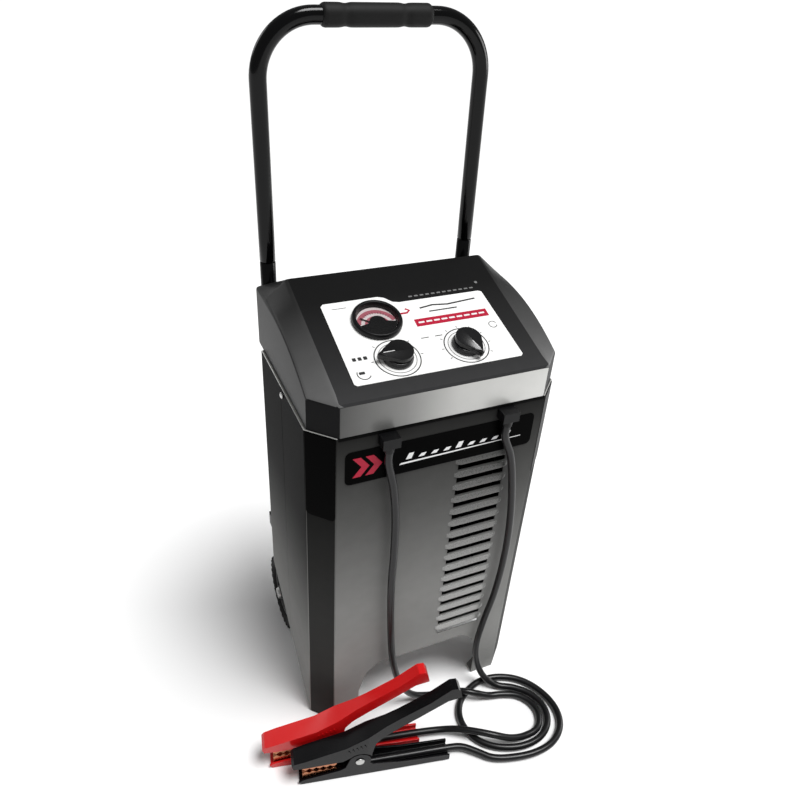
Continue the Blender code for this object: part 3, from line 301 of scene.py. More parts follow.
def make_materials():
    """Every finish. The numbers after a colour are roughness, metallic, spread, grain and bump."""
    ramps = make_ramps()
    finishes = {
        # The cabinet's grey paint, with the painted reflection and shade of the cabinet ramps multiplied in.
        "grey_paint": ((0.285, 0.285, 0.277), 0.50, 0, 0.08, 900, 0.10,
                       {"ramps": ramps["cabinet"], "specular": 0.01}),
        # The hoods' paint, lighter and glossier than the cabinet's, with the same painted reflection down its
        # height.
        "hood_paint_and_painted_shade": ((0.36, 0.36, 0.35), 0.28, 0.35, 0.08, 900, 0.08, {"ramps": ramps["hood"]}),
        # Flat black for sheets that stand in for shade: inside the louvre slots and in the gap under the
        # cap's front band.
        "painted_shade_black": ((0.002, 0.002, 0.002), 0.80, 0, 0.20, 700, 0.10, {"specular": 0.05}),
        "black_paint": ((0.0012, 0.0012, 0.0014), 0.13, 0, 0.20, 300, 0.03, {"specular": 0.22}),
        # The cap's dark plastic, with the painted reflection from front to back multiplied in.
        "cap_plastic": ((0.034, 0.034, 0.035), 0.42, 0, 0.10, 1400, 0.20,
                        {"ramps": ramps["cap"], "specular": 0.12}),
        # The cap's light grey front band, with the painted reflection across it.
        "cap_band": ((0.62, 0.62, 0.60), 0.36, 0.20, 0.05, 900, 0.08, {"ramps": ramps["band"]}),
        # A darker copy of the cap plastic for the cap's front corners: painted shade.
        "cap_corner_painted_shade": ((0.008, 0.008, 0.0085), 0.45, 0, 0.10, 1400, 0.20, {"specular": 0.05}),
        # A lighter copy of the cap plastic for the sloping shoulders: a painted reflection.
        "cap_bevel_painted_reflection": ((0.16, 0.16, 0.16), 0.40, 0.20, 0.08, 1400, 0.15,
                      {"ramps": ramps["cap"], "specular": 0.2}),
        # A lighter metal than the cabinet paint for the rim's edge: a real edge, with a painted highlight
        # along it.
        "rim_metal_painted_highlight": ((0.60, 0.60, 0.58), 0.30, 0.6, 0.06, 600, 0.05, {}),
        "black_plastic": ((0.003, 0.003, 0.0035), 0.36, 0, 0.15, 1200, 0.18, {"specular": 0.2}),
        "knob_plastic": ((0.003, 0.003, 0.0035), 0.24, 0, 0.15, 700, 0.06, {"specular": 0.4}),
        "grip_rubber": ((0.003, 0.003, 0.003), 0.62, 0, 0.20, 1600, 0.40, {"specular": 0.25}),
        "white_label": ((0.90, 0.90, 0.89), 0.38, 0, 0.02, 500, 0.03, {}),
        "black_label": ((0.0006, 0.0006, 0.0006), 0.35, 0, 0.15, 500, 0.03, {"specular": 0.015}),
        "dial_face": ((0.86, 0.76, 0.76), 0.50, 0, 0.03, 400, 0.03, {}),
        "dial_pink": ((0.50, 0.13, 0.17), 0.45, 0, 0.10, 500, 0.03, {}),
        "needle_paint": ((0.012, 0.012, 0.012), 0.35, 0, 0.10, 500, 0.03, {}),
        "print_black": ((0.012, 0.012, 0.013), 0.40, 0, 0.10, 700, 0.03, {}),
        "print_grey": ((0.16, 0.16, 0.16), 0.42, 0, 0.06, 700, 0.03, {}),
        "print_red": ((0.42, 0.008, 0.035), 0.40, 0, 0.10, 700, 0.03, {"specular": 0.2}),
        "print_white": ((0.80, 0.80, 0.80), 0.40, 0, 0.04, 700, 0.03, {}),
        "zinc": ((0.52, 0.52, 0.51), 0.34, 1.0, 0.12, 220, 0.12, {"stretch": (1, 1, 8)}),
        "spring_steel": ((0.36, 0.36, 0.36), 0.30, 1.0, 0.15, 300, 0.08, {}),
        "tyre_rubber": ((0.010, 0.010, 0.010), 0.78, 0, 0.22, 900, 0.45, {"specular": 0.2}),
        "hub_plastic": ((0.022, 0.022, 0.023), 0.48, 0, 0.12, 1100, 0.20, {}),
        "cord_rubber": ((0.005, 0.005, 0.0055), 0.30, 0, 0.15, 1300, 0.12, {"specular": 0.35}),
        "clamp_red": ((0.58, 0.006, 0.007), 0.24, 0, 0.05, 420, 0.015,
                      {"coat": 0.2, "specular": 0.35, "wear": 0.02}),
        "clamp_black": ((0.003, 0.003, 0.0035), 0.24, 0, 0.10, 420, 0.015,
                        {"specular": 0.16, "wear": 0.02}),
        "copper": ((0.50, 0.20, 0.10), 0.26, 1.0, 0.30, 500, 0.15, {}),
        "core_steel": ((0.20, 0.19, 0.18), 0.55, 0.8, 0.20, 400, 0.30, {"stretch": (1, 14, 1)}),
        "aluminium": ((0.62, 0.63, 0.64), 0.35, 1.0, 0.10, 250, 0.10, {"stretch": (8, 1, 1)}),
        "brown_board": ((0.20, 0.11, 0.06), 0.60, 0, 0.20, 500, 0.20, {}),
    }
    made = {name: surface(name, *values, **rest) for name, (*values, rest) in finishes.items()}
    made["clear_lens"] = see_through("clear_lens", 0.10)
    return made


# ---------------------------------------------------------------- mesh building
def finish_mesh(name, bm, smooth=40):
    bmesh.ops.recalc_face_normals(bm, faces=bm.faces)
    mesh = bpy.data.meshes.new(name)
    bm.to_mesh(mesh)
    bm.free()
    mesh.shade_smooth()
    mesh.set_sharp_from_angle(angle=math.radians(smooth))
    return mesh


def place(name, data, finish, body="cabinet", nodes=()):
    """Puts a piece in the scene: its material, its body and the CAD nodes it stands for."""
    obj = bpy.data.objects.new(name, data)
    bpy.context.scene.collection.objects.link(obj)
    data.materials.clear()
    data.materials.append(MATS[finish])
    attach(obj, body)
    if nodes:
        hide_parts(*nodes)
    return obj


def piece(name, bm, finish, body="cabinet", nodes=(), matrix=None, smooth=40):
    if matrix is not None:
        bmesh.ops.transform(bm, matrix=matrix, verts=bm.verts)
    return place(name, finish_mesh(name, bm, smooth), finish, body, nodes)


def softened(node, finish, width=0.0006, segments=2):
    """Rounds the edges of a CAD node that stays in view, and gives it its finish."""
    obj = frame["nodes"][node]
    obj.data.materials[0] = MATS[finish]
    weld = obj.modifiers.new("joined_corners", "WELD")
    weld.merge_threshold = 1e-6
    bevel = obj.modifiers.new("rounded_edges", "BEVEL")
    bevel.width = width
    bevel.segments = segments
    bevel.limit_method = "ANGLE"
    bevel.angle_limit = math.radians(30)
    normals = obj.modifiers.new("even_shading", "WEIGHTED_NORMAL")
    normals.keep_sharp = False
    return obj


def prism(points, low, high, bm=None, bevel=0.0, steps=2):
    """A flat outline in x and y, raised from low to high, with its upper rim rounded."""
    bm = bm or bmesh.new()
    rings = [[bm.verts.new((x, y, z)) for x, y in points] for z in (low, high)]
    count = len(points)
    bm.faces.new(rings[0][::-1])
    bm.faces.new(rings[1])
    for i in range(count):
        j = (i + 1) % count
        bm.faces.new((rings[0][i], rings[0][j], rings[1][j], rings[1][i]))
    if bevel:
        rim = [e for e in bm.edges if e.verts[0] in rings[1] and e.verts[1] in rings[1]]
        bmesh.ops.bevel(bm, geom=rim, offset=bevel, segments=steps, profile=0.5, affect="EDGES")
    return bm


def pierced_sheet(outline, hole, low, high):
    """A flat outline with one hole through it, raised from low to high.

    The fill lists its triangles in a new order each run, so they are sorted and built up by hand."""
    flat = bmesh.new()
    edges = []
    for loop in (outline, hole):
        verts = [flat.verts.new((x, y, low)) for x, y in loop]
        edges += [flat.edges.new((a, b)) for a, b in zip(verts, verts[1:] + verts[:1])]
    bmesh.ops.triangle_fill(flat, use_beauty=True, edges=edges)
    flat.verts.index_update()
    triangles = sorted(sorted(vert.index for vert in face.verts) for face in flat.faces)
    bm = bmesh.new()
    lower = [bm.verts.new(vert.co) for vert in flat.verts]
    upper = [bm.verts.new(vert.co + Vector((0, 0, high - low))) for vert in flat.verts]
    flat.free()
    for corners in triangles:
        for layer in (lower, upper):
            bm.faces.new([layer[i] for i in corners])
    for first, count in ((0, len(outline)), (len(outline), len(hole))):
        for i in range(count):
            a, b = first + i, first + (i + 1) % count
            bm.faces.new((lower[a], lower[b], upper[b], upper[a]))
    return bm


def arc(cx, cy, radius, start, end, steps):
    turns = [math.radians(start + (end - start) * i / steps) for i in range(steps + 1)]
    return [(cx + radius * math.cos(turn), cy + radius * math.sin(turn)) for turn in turns]


def ring_band(cx, cy, inner, outer, start, end, steps):
    return arc(cx, cy, outer, start, end, steps) + arc(cx, cy, inner, end, start, steps)


def box_outline(left, right, low, high, radius=0.0, steps=3):
    if not radius:
        return [(left, low), (right, low), (right, high), (left, high)]
    points = []
    for x, y, start in ((right, low, -90), (right, high, 0), (left, high, 90), (left, low, 180)):
        cx = x - radius if x == right else x + radius
        cy = y - radius if y == high else y + radius
        points += arc(cx, cy, radius, start, start + 90, steps)
    return points


def merge(bm, extra, matrix):
    """Moves a second mesh by a matrix and adds it to the first."""
    bmesh.ops.transform(extra, matrix=matrix, verts=extra.verts)
    data = bpy.data.meshes.new("extra")
    extra.to_mesh(data)
    extra.free()
    bm.from_mesh(data)
    bpy.data.meshes.remove(data)


def stroke(points, width):
    """The outline of a flat line of one width through some points."""
    left, right = [], []
    for i, point in enumerate(points):
        before, after = points[max(i - 1, 0)], points[min(i + 1, len(points) - 1)]
        along = (Vector(after) - Vector(before)).normalized()
        side = Vector((-along.y, along.x)) * width / 2
        left.append(tuple(Vector(point) + side))
        right.append(tuple(Vector(point) - side))
    return left + right[::-1]


def turned(profile, segments=64, bm=None, at=(0, 0, 0), axis="z"):
    """Turns (radius, height) points about an axis. A profile from axis to axis is solid, others are rings."""
    bm = bm or bmesh.new()
    rings = []
    for radius, height in profile:
        count = 1 if radius == 0 else segments
        ring = []
        for i in range(count):
            turn = 2 * math.pi * i / segments
            a, b = radius * math.cos(turn), radius * math.sin(turn)
            spot = {"z": (a, b, height), "x": (height, a, b), "y": (b, height, a)}[axis]
            ring.append(bm.verts.new(Vector(spot) + Vector(at)))
        rings.append(ring)
    pairs = list(zip(rings, rings[1:]))
    if profile[0][0] != 0:
        pairs.append((rings[-1], rings[0]))
    for low, high in pairs:
        for i in range(segments):
            j = (i + 1) % segments
            corners = [low[i % len(low)], low[j % len(low)], high[j % len(high)], high[i % len(high)]]
            bm.faces.new(dict.fromkeys(corners))
    return bm


def rounded_profile(points, radius, steps=3):
    """A profile with its inner corners rounded."""
    spots = [Vector(p) for p in points]
    out = [tuple(spots[0])]
    for before, corner, after in zip(spots, spots[1:], spots[2:]):
        reach = min(radius, (corner - before).length / 2.2, (after - corner).length / 2.2)
        start = corner + (before - corner).normalized() * reach
        end = corner + (after - corner).normalized() * reach
        for i in range(steps + 1):
            t = i / steps
            out.append(tuple(start * (1 - t) ** 2 + corner * 2 * t * (1 - t) + end * t ** 2))
    out.append(tuple(spots[-1]))
    return out


def swept(points, radii, segments):
    """A round bar along a path, closed at both ends."""
    bm = bmesh.new()
    spots = [Vector(p) for p in points]
    rings = []
    side = None
    for i, spot in enumerate(spots):
        along = (spots[min(i + 1, len(spots) - 1)] - spots[max(i - 1, 0)]).normalized()
        guess = side or (Vector((0, 1, 0)) if abs(along.y) < 0.9 else Vector((1, 0, 0)))
        side = (guess - along * guess.dot(along)).normalized()
        third = along.cross(side)
        rings.append([bm.verts.new(spot + (side * math.cos(t) + third * math.sin(t)) * radii[i])
                      for t in (2 * math.pi * k / segments for k in range(segments))])
    for low, high in zip(rings, rings[1:]):
        for k in range(segments):
            j = (k + 1) % segments
            bm.faces.new((low[k], low[j], high[j], high[k]))
    bm.faces.new(rings[0][::-1])
    bm.faces.new(rings[-1])
    return bm


# ---------------------------------------------------------------- leads
def smooth_route(points, step, pieces=12):
    """Evenly spaced points on a smooth curve through the route's own points."""
    spots = [Vector(p) for p in points]
    fine = []
    for i in range(len(spots) - 1):
        a, b = spots[i], spots[i + 1]
        before = spots[max(i - 1, 0)]
        after = spots[min(i + 2, len(spots) - 1)]
        reach = (b - a).length / 3
        start = a + ((b - before).normalized() * reach if i else (b - a) / 3)
        end = b - (after - a).normalized() * reach
        fine += interpolate_bezier(a, start, end, b, pieces + 1)[:-1]
    fine.append(spots[-1])
    lengths = np.cumsum([0] + [(q - p).length for p, q in zip(fine, fine[1:])])
    wanted = np.linspace(0, lengths[-1], int(round(lengths[-1] / step)) + 1)
    spots = [[float(np.interp(s, lengths, [p[k] for p in fine])) for k in range(3)] for s in wanted]
    return spots, float(lengths[-1])


def make_leads():
    for colour, route in ROUTES.items():
        name = f"lead_{colour}"
        points, length = smooth_route(route, step=0.006)
        curve = bpy.data.curves.new(name, "CURVE")
        curve.dimensions = "3D"
        spline = curve.splines.new("POLY")
        spline.points.add(len(points) - 1)
        for spot, point in zip(spline.points, points):
            spot.co = (*point, 1)
        curve.bevel_depth = CORD_R
        curve.bevel_resolution = 6
        curve.use_fill_caps = True
        lead = place(name, curve, "cord_rubber", nodes=[f"output_cable_{colour}"])


# ---------------------------------------------------------------- cabinet
def make_cabinet():
    for node in ("front_shell", "rear_shell"):
        softened(node, "grey_paint", 0.0007)
    for node in ("deck_plate", "base_plate", "side_screw_left", "side_screw_right"):
        softened(node, "zinc", 0.0003)
    for node in ("front_decal", "corner_decal_left", "corner_decal_right"):
        softened(node, "black_label", 0.0002)
    make_louvres()
    make_front_print()


def make_louvres():
    spots = np.linspace(*LOUVRE_Z, LOUVRE_COUNT)
    make_louvre_hoods(spots)
    make_louvre_painted_shade(spots)


def make_louvre_hoods(spots):
    """Pressed hoods over the slots: each starts flush, swells forward and overhangs the slot below it."""
    bm = bmesh.new()
    columns, rows = 36, 8
    swell, reach, droop, margin, end_fade = 0.0022, 0.0080, 0.0016, 0.0045, 0.0085
    off_sheet, overhang = 0.00015, 0.0002
    left, right = LOUVRE_X[0] - margin, LOUVRE_X[1] + margin
    for z in spots:
        foot = z + LOUVRE_HEIGHT / 2 - overhang
        grid = []
        for i in range(columns + 1):
            x = left + (right - left) * (0.5 - 0.5 * math.cos(math.pi * i / columns))
            near = min(1.0, min(x - left, right - x) / end_fade)
            fall = math.sin(near * math.pi / 2)
            line = []
            for j in range(rows + 1):
                t = j / rows
                out = swell * fall * math.sin(t * math.pi / 2) ** 1.4
                up = foot + reach * (1 - t) + droop * (1 - fall) * t
                line.append(bm.verts.new((x, FRONT_Y - off_sheet - out, up)))
            grid.append(line)
        for a, b in zip(grid, grid[1:]):
            for j in range(rows):
                bm.faces.new((a[j], b[j], b[j + 1], a[j + 1]))
    # The hoods carry the cabinet's painted reflection: dark at the top, lighter towards the bottom.
    shell = piece("louvre_hoods", bm, "hood_paint_and_painted_shade").modifiers.new("sheet", "SOLIDIFY")
    shell.thickness = 0.0010
    shell.offset = -1


def make_louvre_painted_shade(spots):
    """Painted shade: a black sheet behind each slot, which slopes back and down and stands in for the shade
    inside the slot.
    """
    bm = bmesh.new()
    depth = (0.0004, 0.0086)
    for z in spots:
        low, high = z - LOUVRE_HEIGHT / 2, z + LOUVRE_HEIGHT / 2
        edges = [(FRONT_Y + depth[0], high - 0.0006), (FRONT_Y + depth[1], low + 0.0001)]
        rings = [[bm.verts.new((x, y, h)) for y, h in edges] for x in np.linspace(*LOUVRE_X, 9)]
        for a, b in zip(rings, rings[1:]):
            bm.faces.new((a[0], b[0], b[1], a[1]))
    skin = piece("painted_slot_shade", bm, "painted_shade_black").modifiers.new("skin", "SOLIDIFY")
    skin.thickness = 0.0003


def make_front_print():
    """Generic marks on the front band: two chevrons, and a row of slanted bars over a long line."""
    face = Matrix.Translation((0, FRONT_Y - 0.0009, 0)) @ Matrix.Rotation(math.pi / 2, 4, "X")
    half, thick, point = 0.014, 0.010, 0.011
    bm = bmesh.new()
    for start in (-0.117, -0.101):
        chevron = [(start, MARK_MIDDLE - half), (start + thick, MARK_MIDDLE - half),
                   (start + thick + point, MARK_MIDDLE), (start + thick, MARK_MIDDLE + half),
                   (start, MARK_MIDDLE + half), (start + point, MARK_MIDDLE)]
        prism(chevron, 0, MARK_THICK, bm)
    piece("front_mark_red", bm, "print_red", matrix=face)
    bm = bmesh.new()
    line = [(-0.058, MARK_MIDDLE - 0.0105), (0.108, MARK_MIDDLE - 0.0075), (0.108, MARK_MIDDLE - 0.0065),
            (-0.056, MARK_MIDDLE - 0.0080)]
    prism(line, 0, MARK_THICK, bm)
    pitch, width, foot = 0.0165, 0.0075, MARK_MIDDLE - 0.0040
    for i in range(9):
        x, rise = -0.050 + pitch * i, 0.0085 if i % 4 == 0 else 0.0045
        bar = [(x, foot), (x + width, foot), (x + 0.0105, foot + rise), (x + 0.0040, foot + rise)]
        prism(bar, 0, MARK_THICK, bm)
    piece("front_mark_white", bm, "print_white", matrix=face)


# ---------------------------------------------------------------- cap
def cap_half_width(y):
    """Half the cap's width, at a distance behind its front: chamfered corners, drawn in at the back."""
    depth = CAP_BACK_Y - FRONT_Y
    taper_run, taper = 0.014, 0.75
    if y < CHAMFER:
        return CAP_FRONT_HALF + (CAP_HALF - CAP_FRONT_HALF) * y / CHAMFER
    return CAP_HALF - max(0.0, y - (depth - taper_run)) * taper


def cap_shoulder(y):
    """The height of the cap's side walls: a curve up from the front band, then a fall to the back."""
    rise_end, rise_run, rise_height = 0.165, 0.135, 0.0375
    fall_start, fall = 0.236, 0.40
    rise = 1 - min(1.0, max(0.0, (rise_end - y) / rise_run)) ** 2
    return CAP_BAND + rise_height * rise - max(0.0, y - fall_start) * fall


def cap_top(y):
    """The height of the cap's middle: the panel's slope up to the ridge, then a fall to the back."""
    fall, step_down = 0.53, 0.0005
    run = min(y, CAP_RIDGE) + FRONT_Y - PANEL_ORIGIN.y
    plane = PANEL_ORIGIN.z - CAP_LOW.z + run * math.tan(PANEL_TILT)
    return max(plane - max(0.0, y - CAP_RIDGE) * fall, cap_shoulder(y) - step_down)


def cap_section(y, first=False, last=False):
    """The cap's outline across, at a distance behind its front, with rounded shoulders."""
    half = cap_half_width(y)
    shoulder = min(cap_shoulder(y), cap_top(y))
    top = cap_top(y)
    bevel = min(PANEL_HALF, half - 0.0015)
    if first:
        shoulder = top = CAP_BAND
        bevel = half - 0.004
    if last:
        shoulder = top = cap_top(y) - 0.004
        bevel = half - 0.010
    corners = [(half, 0.0), (half, shoulder), (bevel, top), (0.0, top)]
    side = rounded_profile(corners, 0.0040, 4)
    return side + [(-x, z) for x, z in side[::-1][1:]]


def make_cap():
    """The moulded cap: outlines across it joined from front to back, its collars and its trim."""
    depth = CAP_BACK_Y - FRONT_Y
    creases = {0.0, 0.0015, 0.003, 0.016, depth}
    creases |= {CHAMFER + step for step in (-0.0015, 0, 0.0015)}
    creases |= {CAP_RIDGE + step for step in (-0.003, 0, 0.003)}
    lines = sorted(creases | {round(float(y), 5) for y in np.linspace(0.040, depth - 0.004, 22)})
    bm = bmesh.new()
    rings = []
    for y in lines:
        section = cap_section(y, y == 0.0, y == depth)
        rings.append([bm.verts.new((x, FRONT_Y + y, CAP_LOW.z + z)) for x, z in section])
    for low, high in zip(rings, rings[1:]):
        for i in range(len(low) - 1):
            bm.faces.new((low[i], low[i + 1], high[i + 1], high[i]))
    bm.faces.new(rings[0])
    bm.faces.new(rings[-1][::-1])
    bm.faces.new([ring[0] for ring in rings] + [ring[-1] for ring in rings[::-1]])
    add_collars(bm)
    body = piece("cap_body", bm, "cap_plastic", nodes=["top_cap"], smooth=28)
    paint_cap_light_and_shade(body.data, columns=len(rings[0]) - 1, bands=len(rings) - 1)
    make_cap_trim()


def add_collars(bm):
    """The two sockets that the frame tubes come up through."""
    bore = TUBE_R + 0.0003
    collar = [(bore, -0.004), (0.0165, -0.004), (0.0165, 0.0475), (0.0150, 0.0505), (TUBE_R + 0.0012, 0.0510),
              (bore, 0.0500)]
    for side in (-1, 1):
        turned([(r, CAP_LOW.z + h) for r, h in collar], 48, bm, (side * TUBE_X, TUBE_Y, 0))


def paint_cap_light_and_shade(mesh, columns, bands):
    """Gives the sloping shoulders a lighter copy of the cap plastic, a painted reflection, and the front
    corners a darker copy, painted shade.
    """
    mesh.materials.append(MATS["cap_bevel_painted_reflection"])
    mesh.materials.append(MATS["cap_corner_painted_shade"])
    for face in mesh.polygons:
        column = face.index % columns
        is_front = face.center.y < FRONT_Y + CHAMFER and face.normal.z < 0.3
        # Front corner faces: the darker copy, painted shade.
        if is_front and abs(face.normal.x) > 0.3:
            face.material_index = 2
        # Sloping shoulder faces: the lighter copy, a painted reflection.
        elif face.index < columns * bands and min(column, columns - 1 - column) in CAP_BEVEL_RUN:
            face.material_index = 1


def make_cap_trim():
    """The cap's grey front band with a painted reflection across it, a black strip under it as painted shadow
    in the gap, and the cabinet's rim edge in a lighter metal as a painted highlight.
    """
    turn = Matrix.Translation((0, FRONT_Y - 0.00005, CAP_LOW.z)) @ Matrix.Rotation(math.pi / 2, 4, "X")
    half = CAP_FRONT_HALF - 0.0006
    band = prism(box_outline(-half, half, 0.0012, CAP_BAND - 0.0008, 0.0008), 0, 0.0004, bevel=0.00015)
    piece("cap_front_band", band, "cap_band", matrix=turn)
    # Painted shadow: a black strip under the front band, standing in for the shadow in the gap between cap
    # and cabinet.
    half = CAP_FRONT_HALF + 0.001
    shadow_gap_strip = prism(box_outline(-half, half, -0.0034, 0.0008, 0.0004), 0, 0.0006, bevel=0.0002)
    piece("cap_painted_shadow_gap", shadow_gap_strip, "painted_shade_black", matrix=turn)
    # The cabinet's top rim edge, drawn as a thin bead in the lighter rim metal: a real edge carrying a
    # painted highlight.
    rim = [(-HALF_WIDTH + 0.0010, BACK_Y - 0.002), (-HALF_WIDTH + 0.0010, FRONT_Y + CHAMFER + 0.0002),
           (-FRONT_HALF + 0.0008, FRONT_Y + 0.0012)]
    for side, word in ((1, "left"), (-1, "right")):
        path = [(side * x, y, DECK_Z - 0.0002) for x, y in rim]
        piece(f"rim_bead_{word}", swept(path, [0.0009] * 3, 12), "rim_metal_painted_highlight")


# ---------------------------------------------------------------- panel
def make_panel():
    """The white label, the marks printed on it, and the strip of marks above it."""
    outline = [(-0.108, 0.003), (-0.105, 0.0), (0.105, 0.0), (0.108, 0.003), (0.1045, 0.1135),
               (0.101, 0.1160), (-0.010, 0.1160), (-0.018, 0.1185), (-0.026, 0.1270),
               (-0.034, 0.1300), (-0.104, 0.1300), (-0.1075, 0.1265)]
    gauge_hole = arc(*AMMETER_AT, GAUGE_HOLE_R, 0, 355, 71)
    sheet = pierced_sheet(outline, gauge_hole, LABEL_LOW, LABEL_TOP)
    piece("panel_label_sheet", sheet, "white_label", nodes=["panel_label"], matrix=PANEL)
    grey, black, red, white = (bmesh.new() for _ in range(4))
    print_knob_scales(grey, black)
    print_warning_bar(red, white)
    print_lines(black)
    for word, bm in (("grey", grey), ("black", black), ("red", red), ("white", white)):
        piece(f"label_print_{word}", bm, f"print_{word}", matrix=PANEL)
    strip = bmesh.new()
    for i in range(12):
        x = 0.006 + 0.0078 * i
        prism(box_outline(x, x + 0.0050, 0.1225, 0.1248, 0.0005), 0.00005, 0.00025, strip)
    piece("panel_strip_marks", strip, "print_grey", matrix=PANEL)
    lamp = rounded_profile([(0, 0.0001), (0.0022, 0.0001), (0.0022, 0.0006), (0, 0.0010)], 0.0003)
    at_lamp = PANEL @ Matrix.Translation(LAMP_AT)
    piece("panel_lamp", turned(lamp, 32), "print_grey", matrix=at_lamp)


def printed(bm, outline, layer=0):
    """A patch of ink on the label. A second layer lies on the first."""
    low = LABEL_TOP + layer * PRINT
    prism(outline, low, low + (0.0001 if layer else PRINT), bm)


def print_knob_scales(grey, black):
    """Two rings and a row of ticks round each knob."""
    for centre in (RATE_AT, TIMER_AT):
        printed(black, ring_band(*centre, 0.0268, 0.0282, 0, 359.9, 72))
        printed(grey, ring_band(*centre, 0.0222, 0.0232, 0, 359.9, 72))
    scales = ((TIMER_AT, range(-30, 211, 30), 0.0008), (RATE_AT, range(0, 181, 45), 0.0009))
    for centre, turns, width in scales:
        for turn in turns:
            mark(black, centre, turn, 0.0295, 0.0325, width, LABEL_TOP, LABEL_TOP + PRINT)


def print_warning_bar(red, white):
    """A red bar with white dashes, and a small red hook beside the gauge."""
    printed(red, box_outline(-0.003, 0.0955, 0.0715, 0.0838))
    for i in range(9):
        x = 0.001 + 0.0103 * i
        printed(white, box_outline(x, x + 0.0078, 0.0764, 0.0790, 0.0006), layer=1)
    printed(red, stroke([(-0.0155, 0.0965), (-0.0070, 0.0965), (-0.0025, 0.1000), (-0.0070, 0.1035)], 0.0028))


def print_lines(black):
    """Black lines, blocks and curves where the real label has words and signs."""
    printed(black, stroke([(0.012, 0.1010), (0.030, 0.1035), (0.050, 0.1010), (0.090, 0.1040)], 0.0024))
    printed(black, box_outline(0.022, 0.060, 0.0925, 0.0945))
    for i in range(3):
        x = 0.0068 * i
        printed(black, box_outline(-0.0985 + x, -0.0940 + x, 0.0350, 0.0400, 0.0006))
    printed(black, stroke(arc(-0.092, 0.0150, 0.0080, 150, 330, 10), 0.0012))
    printed(black, box_outline(-0.0975, -0.0905, 0.0145, 0.0185, 0.0008))
    printed(black, box_outline(-0.0960, -0.0780, 0.1190, 0.1198))
    printed(black, stroke(arc(0.093, 0.0560, 0.0052, 20, 340, 12), 0.0010))
    for x in (-0.006, 0.012):
        printed(black, box_outline(x, x + 0.010, 0.0520, 0.0532))


def mark(bm, centre, turn, inner, outer, width, low, high):
    """A short radial tick."""
    c, s = math.cos(math.radians(turn)), math.sin(math.radians(turn))
    start = (centre[0] + inner * c, centre[1] + inner * s)
    end = (centre[0] + outer * c, centre[1] + outer * s)
    prism(stroke([start, end], width), low, high, bm)


def make_ammeter():
    """The gauge: bezel, dial, bands, ticks, pivot cover and lens. The needle keeps its CAD shape."""
    gauge = PANEL @ Matrix.Translation((*AMMETER_AT, 0))
    case = [(0, -0.022), (0.0264, -0.022), (0.0264, 0.0013), (0.0310, 0.0013), (0.0310, 0.0060),
            (0.0296, 0.0085), (0.0262, 0.0085), (0.0250, 0.0040), (0.0250, -0.0010), (0, -0.0010)]
    bezel = turned(rounded_profile(case, 0.0009), 72)
    piece("ammeter_bezel", bezel, "black_plastic", nodes=["ammeter_case"], matrix=gauge)
    face_r, face_z = 0.0246, 0.0001
    face = turned([(0, -0.0007), (face_r, -0.0007), (face_r, face_z), (0, face_z)], 64)
    piece("ammeter_face", face, "dial_face", nodes=["ammeter_dial"], matrix=gauge)
    centre = (0.0, -0.006)
    bands = bmesh.new()
    for inner, outer, steps in ((0.0205, 0.0262, 44), (0.0125, 0.0160, 30)):
        prism(ring_band(*centre, inner, outer, 14, 166, steps), face_z, 0.00025, bands)
    piece("dial_bands", bands, "dial_pink", matrix=gauge)
    ticks = bmesh.new()
    count, first, sweep = 13, 35, 110
    for i in range(count):
        outer = 0.0225 if i % 3 else 0.0234
        mark(ticks, centre, first + sweep * i / (count - 1), 0.0195, outer, 0.0005, face_z, 0.0003)
    piece("dial_ticks", ticks, "print_black", matrix=gauge)
    outline = arc(0, 0, face_r, 195, 345, 28) + arc(0, -0.004, 0.0105, 0, 180, 20)
    dome = prism(outline, 0.0028, 0.0044, bevel=0.0005)
    piece("pivot_dome", dome, "black_plastic", nodes=["pivot_cover"], matrix=gauge)
    lens = turned(rounded_profile([(0, 0.0050), (0.0252, 0.0050), (0.0252, 0.0057), (0, 0.0068)], 0.0003), 64)
    piece("ammeter_window", lens, "clear_lens", nodes=["ammeter_lens"], matrix=gauge)
    frame["nodes"]["ammeter_needle"].data.materials[0] = MATS["needle_paint"]


def make_knob(word, spot, pointer_turn, body):
    """A ribbed skirt with a teardrop grip on it and a white line along the pointer: a painted highlight."""
    pivot = PANEL @ Matrix.Translation((*spot, 0)) @ Matrix.Rotation(math.radians(pointer_turn), 4, "Z")
    bm = bmesh.new()
    bore_r, skirt_r, rib_r, low, high = 0.0036, 0.0185, 0.0180, 0.0014, 0.0085
    skirt = [(bore_r, low), (skirt_r, low), (skirt_r, 0.0050), (0.0172, high), (bore_r, high)]
    turned(rounded_profile(skirt, 0.0008), 72, bm)
    for i in range(KNOB_RIDGES):
        turn = 2 * math.pi * i / KNOB_RIDGES
        rib = [tuple(Vector((rib_r * math.cos(turn + swing), rib_r * math.sin(turn + swing))) * stretch)
               for swing, stretch in ((-0.035, 1.0), (-0.015, 1.032), (0.015, 1.032), (0.035, 1.0))]
        prism(rib, 0.0018, 0.0052, bm)
    grip = arc(0, -0.001, 0.0158, 152, 388, 36)
    grip += [(0.0104, 0.0120), (0.0058, 0.0185), (0.0015, 0.0263), (-0.0015, 0.0263), (-0.0058, 0.0185),
             (-0.0104, 0.0120)]
    prism(grip, 0.0070, 0.0150, bm, bevel=0.0030, steps=5)
    piece(f"{word}_pointer_knob", bm, "knob_plastic", body, [f"{word}_knob"], pivot)
    # A white stripe along the top of the grip in the white print finish: a painted highlight along the
    # pointer's ridge.
    line = prism(box_outline(-0.0004, 0.0004, 0.006, 0.0200, 0.0002), 0.0149, 0.01515)
    piece(f"{word}_pointer_line", line, "print_white", body, matrix=pivot)
    softened(f"{word}_shaft", "zinc", 0.0003)


